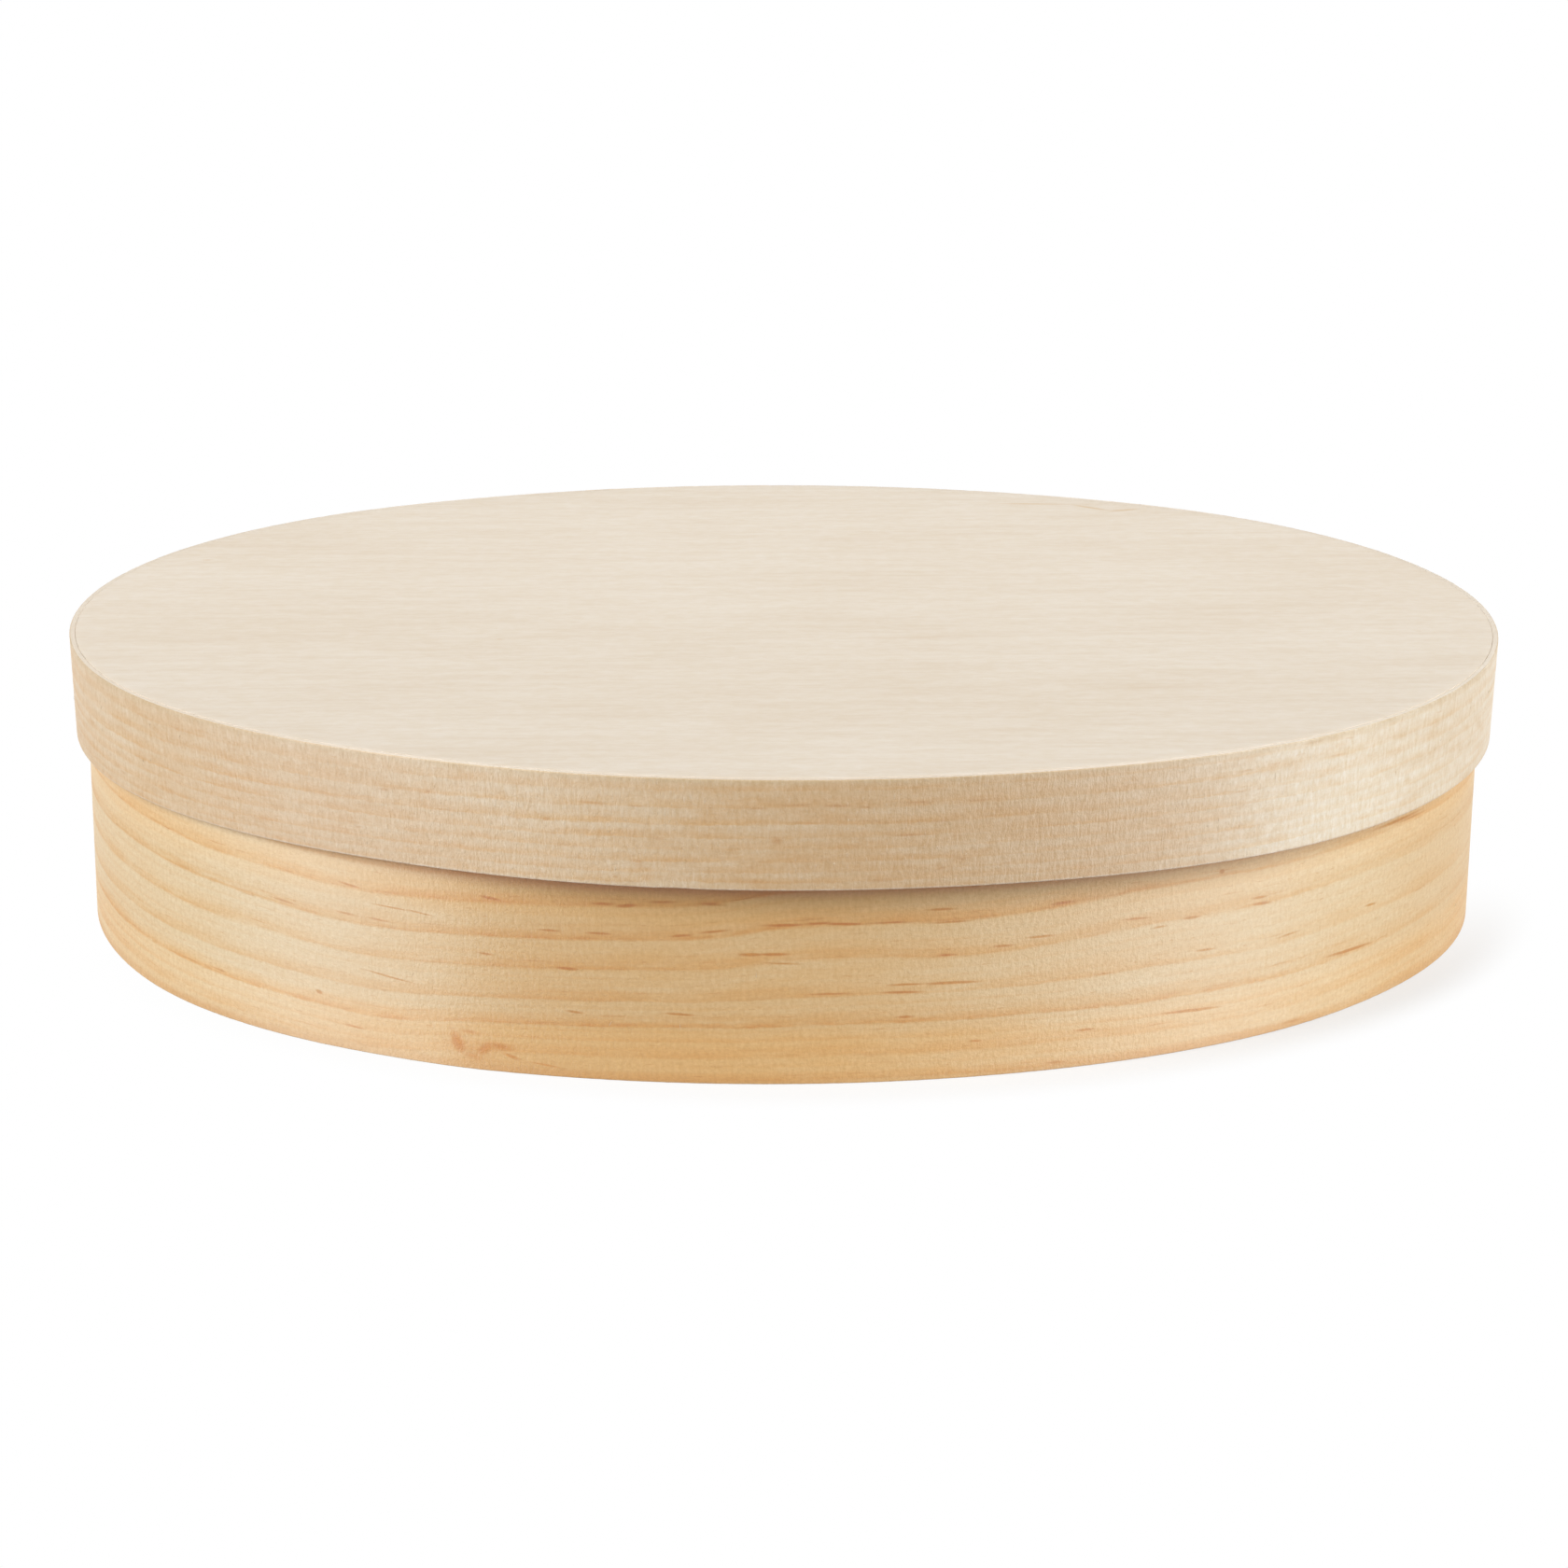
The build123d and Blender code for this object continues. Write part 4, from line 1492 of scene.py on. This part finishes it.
def add_fibres(sizes, body, slot, density, top, seed):
    """The loose fibres that stand off a strip's outer face, none so far out as the lid's widest."""
    name = body + "_fibres"
    values = {
        "Density": density,
        "Length": sizes.fibre_length,
        "Thickness": sizes.fibre_thickness,
        "Lift": sizes.fibre_lift,
        "Reach X": sizes.lid_length / 2 - 2 * sizes.fibre_lift,
        "Reach Y": sizes.lid_width / 2 - 2 * sizes.fibre_lift,
        "Reach Z": top - sizes.fibre_length,
        "Seed": seed,
        "Material": material_called("Loose Fibre"),
    }
    strip = bpy.data.objects[body + "_strip"].data.copy()
    mesh = run_tree(name, strip, geometry_tree("Stand Fibres", FIBRE_INPUTS, build_fibres), values)
    face_outwards(mesh)
    fibres = add_object(name, mesh)
    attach(fibres, body)


# How far out from the middle the rings of points on a board's faces lie, as shares
BOARD_SHARES = (0.08, 0.3, 0.5, 0.7, 0.85, 0.95, 0.985)


def board_mesh(name, wall, sizes, low, high, along):
    """A board with eased edges, fitted inside a wall."""
    depth = np.full_like(along, wall.thickness + sizes.board_gap)
    ease = sizes.board_ease
    turns = [QUARTER_TURN * step / EASE_STEPS for step in range(EASE_STEPS + 1)]
    levels = [(low, 0.0, share) for share in BOARD_SHARES]
    for turn in turns:
        levels.append((low + ease * (1 - math.cos(turn)), ease * (1 - math.sin(turn)), 1.0))
    for turn in turns:
        levels.append((high - ease * (1 - math.sin(turn)), ease * (1 - math.cos(turn)), 1.0))
    levels += [(high, 0.0, share) for share in reversed(BOARD_SHARES)]
    shell = bmesh.new()
    rings = []
    for height, inset, share in levels:
        points = wall.edge(along, depth + inset, height) * share
        rings.append([shell.verts.new((x, y, height)) for x, y in points])
    count = len(along)
    for lower, upper in zip(rings, rings[1:]):
        for index in range(count):
            after = (index + 1) % count
            shell.faces.new((lower[index], lower[after], upper[after], upper[index]))
    for ring, height in ((rings[0], low), (rings[-1], high)):
        middle = shell.verts.new((0, 0, height))
        for index in range(count):
            shell.faces.new((ring[index], ring[(index + 1) % count], middle))
    bmesh.ops.recalc_face_normals(shell, faces=shell.faces[:])
    mesh = bpy.data.meshes.new(name)
    shell.to_mesh(mesh)
    shell.free()
    mesh.polygons.foreach_set("use_smooth", [True] * len(mesh.polygons))
    return mesh


def add_board(sizes, name, wall, low, high):
    """One board, with its grain along the box."""
    girth = wall.top_oval.girth
    along = np.linspace(-girth / 2, girth / 2, round(girth / sizes.station_step), endpoint=False)
    mesh = board_mesh(name, wall, sizes, low, high, along)
    mesh.materials.append(material_called("Board Wood"))
    return add_object(name, mesh)


class AddStrips(bpy.types.Operator):
    """Add the two bent strips, each lapped over its own end"""

    bl_idname = "cheesebox.add_strips"
    bl_label = "Strips"

    def execute(self, context):
        sizes = context.scene.box_sizes
        ease = sizes.edge_ease
        eases = (ease, sizes.board_ease)
        base = add_strip(sizes, "base_strip", base_wall(sizes), "Base Strip Wood", eases, ())
        settle(base, "base", "base_band", "base_wood")
        eases = (sizes.board_ease, ease)
        lid = add_strip(sizes, "lid_strip", lid_wall(sizes), "Lid Strip Wood", eases, LID_FOOT_LIFTS)
        settle(lid, "lid", "lid_band", "lid_wood")
        return {"FINISHED"}


class AddFibres(bpy.types.Operator):
    """Add the loose fibres that stand off the strips"""

    bl_idname = "cheesebox.add_fibres"
    bl_label = "Loose fibres"

    def execute(self, context):
        sizes = context.scene.box_sizes
        top = sizes.box_height
        lid_foot = top - sizes.lid_strip_height
        add_fibres(sizes, "base", "base_wood", BASE_FIBRE_DENSITY, lid_foot, BASE_FIBRE_SEED)
        add_fibres(sizes, "lid", "lid_wood", LID_FIBRE_DENSITY, top, LID_FIBRE_SEED)
        return {"FINISHED"}


class AddBoards(bpy.types.Operator):
    """Add the bottom board and the lid's board"""

    bl_idname = "cheesebox.add_boards"
    bl_label = "Boards"

    def execute(self, context):
        sizes = context.scene.box_sizes
        bottom = add_board(sizes, "bottom_board", base_wall(sizes), 0.0, sizes.bottom_board_thickness)
        settle(bottom, "base", "bottom_panel", "board_wood")
        top = sizes.box_height
        board = add_board(sizes, "lid_board", lid_wall(sizes), top - sizes.lid_board_thickness, top)
        settle(board, "lid", "lid_panel", "board_wood")
        return {"FINISHED"}


class AddGlue(bpy.types.Operator):
    """Add the glue in the laps and the beads that hold the boards"""

    bl_idname = "cheesebox.add_glue"
    bl_label = "Glue"

    def execute(self, context):
        sizes = context.scene.box_sizes
        base = base_wall(sizes)
        lid = lid_wall(sizes)
        lid_board_foot = sizes.box_height - sizes.lid_board_thickness
        even = unevenness(sizes.wear_size, sizes.edge_ease)
        uneven = unevenness(2 * sizes.wear_size, sizes.edge_ease, stray=sizes.bead_wear)
        films = (("base", base, "base_lap_glue"), ("lid", lid, "lid_lap_glue"))
        for body, wall, node in films:
            name = body + "_lap_film"
            path = glue_film_path(name, sizes, wall)
            section = film_section(name, sizes, wall)
            film = swept_piece(name, path, section, wall, "Dried Glue", even)
            settle(film, body, node, "dried_glue")
        beads = (
            ("base", base, sizes.bottom_board_thickness, 1, "bottom_glue_bead"),
            ("lid", lid, lid_board_foot, -1, "lid_glue_bead"),
        )
        for body, wall, foot, upward, node in beads:
            name = body + "_board_bead"
            section = bead_section(name, sizes, foot, upward)
            path = ring_path(name, sizes, wall)
            bead = swept_piece(name, path, section, wall, "Dried Glue", uneven)
            settle(bead, body, node, "dried_glue")
        return {"FINISHED"}


def seen_directly(maker):
    """One where a surface is seen, and nothing where it only gives light."""
    path = maker.add("ShaderNodeLightPath").outputs
    seen = maker.math("MAXIMUM", path["Is Camera Ray"], path["Is Glossy Ray"])
    return maker.math("MAXIMUM", seen, path["Is Transmission Ray"])


def grey_matte(maker, level):
    """A matte shader of one grey."""
    matte = maker.add("ShaderNodeBsdfDiffuse", {"Color": (level, level, level, 1.0)})
    return matte.outputs[0]


def floor_material(studio, sizes):
    """A floor that is seen as white, keeps a soft shadow and throws back less light."""
    maker = WoodMaker("Studio Floor")
    seen = seen_directly(maker)
    across, back, _ = maker.board_place()
    narrowing = sizes.lid_length / sizes.lid_width
    away = maker.math("SQRT", maker.squares(across, back * narrowing))
    box_end = sizes.lid_length / 2 / MM
    near = maker.step(away, box_end + studio.shadow_reach / MM, box_end)
    near = near * maker.step(across, *[share * box_end for share in SHADOW_ACROSS])
    near = near * maker.step(back, *[share * box_end for share in SHADOW_FORWARD])
    white = maker.add("ShaderNodeEmission").outputs[0]
    mixer = maker.add("ShaderNodeMixShader")
    shadow = near * studio.floor_shadow
    shown = maker.fill(mixer, shadow, white, grey_matte(maker, studio.floor_shade))
    mixer = maker.add("ShaderNodeMixShader")
    return maker.output(maker.fill(mixer, seen, grey_matte(maker, studio.floor_bounce), shown))


def add_floor(studio, sizes):
    """The floor."""
    half = studio.floor_size / 2
    corners = [(-half, -half, 0), (half, -half, 0), (half, half, 0), (-half, half, 0)]
    mesh = bpy.data.meshes.new("studio_floor")
    mesh.from_pydata(corners, [], [(0, 1, 2, 3)])
    mesh.materials.append(floor_material(studio, sizes))
    floor = add_object("studio_floor", mesh)
    floor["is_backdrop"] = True


def add_world(studio):
    """Even light from all round, seen as white."""
    world = bpy.data.worlds.new("Studio World")
    world.use_nodes = True
    maker = NodeMaker(world.node_tree)
    world.node_tree.nodes.clear()
    fill = maker.add("ShaderNodeBackground", {"Color": WHITE, "Strength": studio.fill})
    white = maker.add("ShaderNodeBackground", {"Color": WHITE})
    mixer = maker.add("ShaderNodeMixShader")
    mixed = maker.fill(mixer, seen_directly(maker), fill.outputs[0], white.outputs[0])
    maker.add("ShaderNodeOutputWorld", {"Surface": mixed})
    bpy.context.scene.world = world


def add_lamp(name, place, width, height, power):
    """A soft lamp aimed at the box."""
    lamp = bpy.data.lights.new(name, "AREA")
    lamp.shape = "RECTANGLE"
    lamp.size = width
    lamp.size_y = height
    lamp.energy = power
    holder = add_object(name, lamp)
    holder.location = place
    holder.rotation_euler = (-place).to_track_quat("-Z", "Y").to_euler()


def add_lamps(studio):
    """A tall soft lamp on each side."""
    flat = math.cos(studio.lamp_rise) * studio.lamp_distance
    rise = math.sin(studio.lamp_rise) * studio.lamp_distance
    lamps = (("left_lamp", -1, studio.left_power), ("right_lamp", 1, studio.right_power))
    for name, side, power in lamps:
        turn = studio.camera_turn + side * studio.lamp_turn
        place = Vector((flat * math.sin(turn), -flat * math.cos(turn), rise))
        add_lamp(name, place, studio.lamp_width, studio.lamp_height, power)


def add_camera(studio):
    """The camera, in the place from which the box is seen."""
    pitch = studio.camera_pitch
    forward = Vector((0, math.cos(pitch), -math.sin(pitch)))
    upward = Vector((0, math.sin(pitch), math.cos(pitch)))
    right = Vector((1, 0, 0))
    leaning = Matrix.Rotation(studio.camera_turn, 3, "Z")
    across = leaning @ (right * math.cos(studio.camera_roll) + upward * math.sin(studio.camera_roll))
    above = leaning @ (upward * math.cos(studio.camera_roll) - right * math.sin(studio.camera_roll))
    aim = Vector((studio.aim_across, 0, studio.aim_height))
    place = leaning @ (aim - forward * studio.camera_distance)
    backward = across.cross(above)
    lens = bpy.data.cameras.new("studio_camera")
    lens.lens = studio.focal_length
    lens.clip_start = CLIP_START
    camera = add_object("studio_camera", lens)
    turned = Matrix((across, above, backward)).transposed().to_4x4()
    camera.matrix_world = Matrix.Translation(place) @ turned
    bpy.context.scene.camera = camera


class AddStudio(bpy.types.Operator):
    """Add the floor, the lamps and the camera"""

    bl_idname = "cheesebox.add_studio"
    bl_label = "Studio"

    def execute(self, context):
        studio = context.scene.box_studio
        add_floor(studio, context.scene.box_sizes)
        add_world(studio)
        add_lamps(studio)
        add_camera(studio)
        context.scene.view_settings.view_transform = "Standard"
        return {"FINISHED"}


OPERATORS = (AddStrips, AddFibres, AddBoards, AddGlue, AddStudio)


class CheeseBoxPanel(bpy.types.Panel):
    """Lists the pieces of the box"""

    bl_idname = "VIEW3D_PT_cheese_box"
    bl_label = "Cheese Box"
    bl_space_type = "VIEW_3D"
    bl_region_type = "UI"
    bl_category = "Cheese Box"

    def draw(self, context):
        for operator in OPERATORS:
            self.layout.operator(operator.bl_idname)


SETTINGS = {"box_sizes": BoxSizes, "box_tones": WoodTones, "box_studio": StudioSettings}


def register():
    for group in SETTINGS.values():
        bpy.utils.register_class(group)
    for name, group in SETTINGS.items():
        setattr(bpy.types.Scene, name, PointerProperty(type=group))
    for operator in OPERATORS:
        bpy.utils.register_class(operator)
    bpy.utils.register_class(CheeseBoxPanel)


def unregister():
    bpy.utils.unregister_class(CheeseBoxPanel)
    for operator in reversed(OPERATORS):
        bpy.utils.unregister_class(operator)
    for name in SETTINGS:
        delattr(bpy.types.Scene, name)
    for group in SETTINGS.values():
        bpy.utils.unregister_class(group)


def main():
    """Builds the box and its studio, and works out both boxes' sizes."""
    register()
    bpy.ops.cheesebox.add_strips()
    bpy.ops.cheesebox.add_fibres()
    bpy.ops.cheesebox.add_boards()
    bpy.ops.cheesebox.add_glue()
    bpy.ops.cheesebox.add_studio()
    visual_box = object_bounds()
    boxes = {"cad": [list(end) for end in cad_box], "visual": [list(end) for end in visual_box]}


if __name__ == "__main__":
    main()
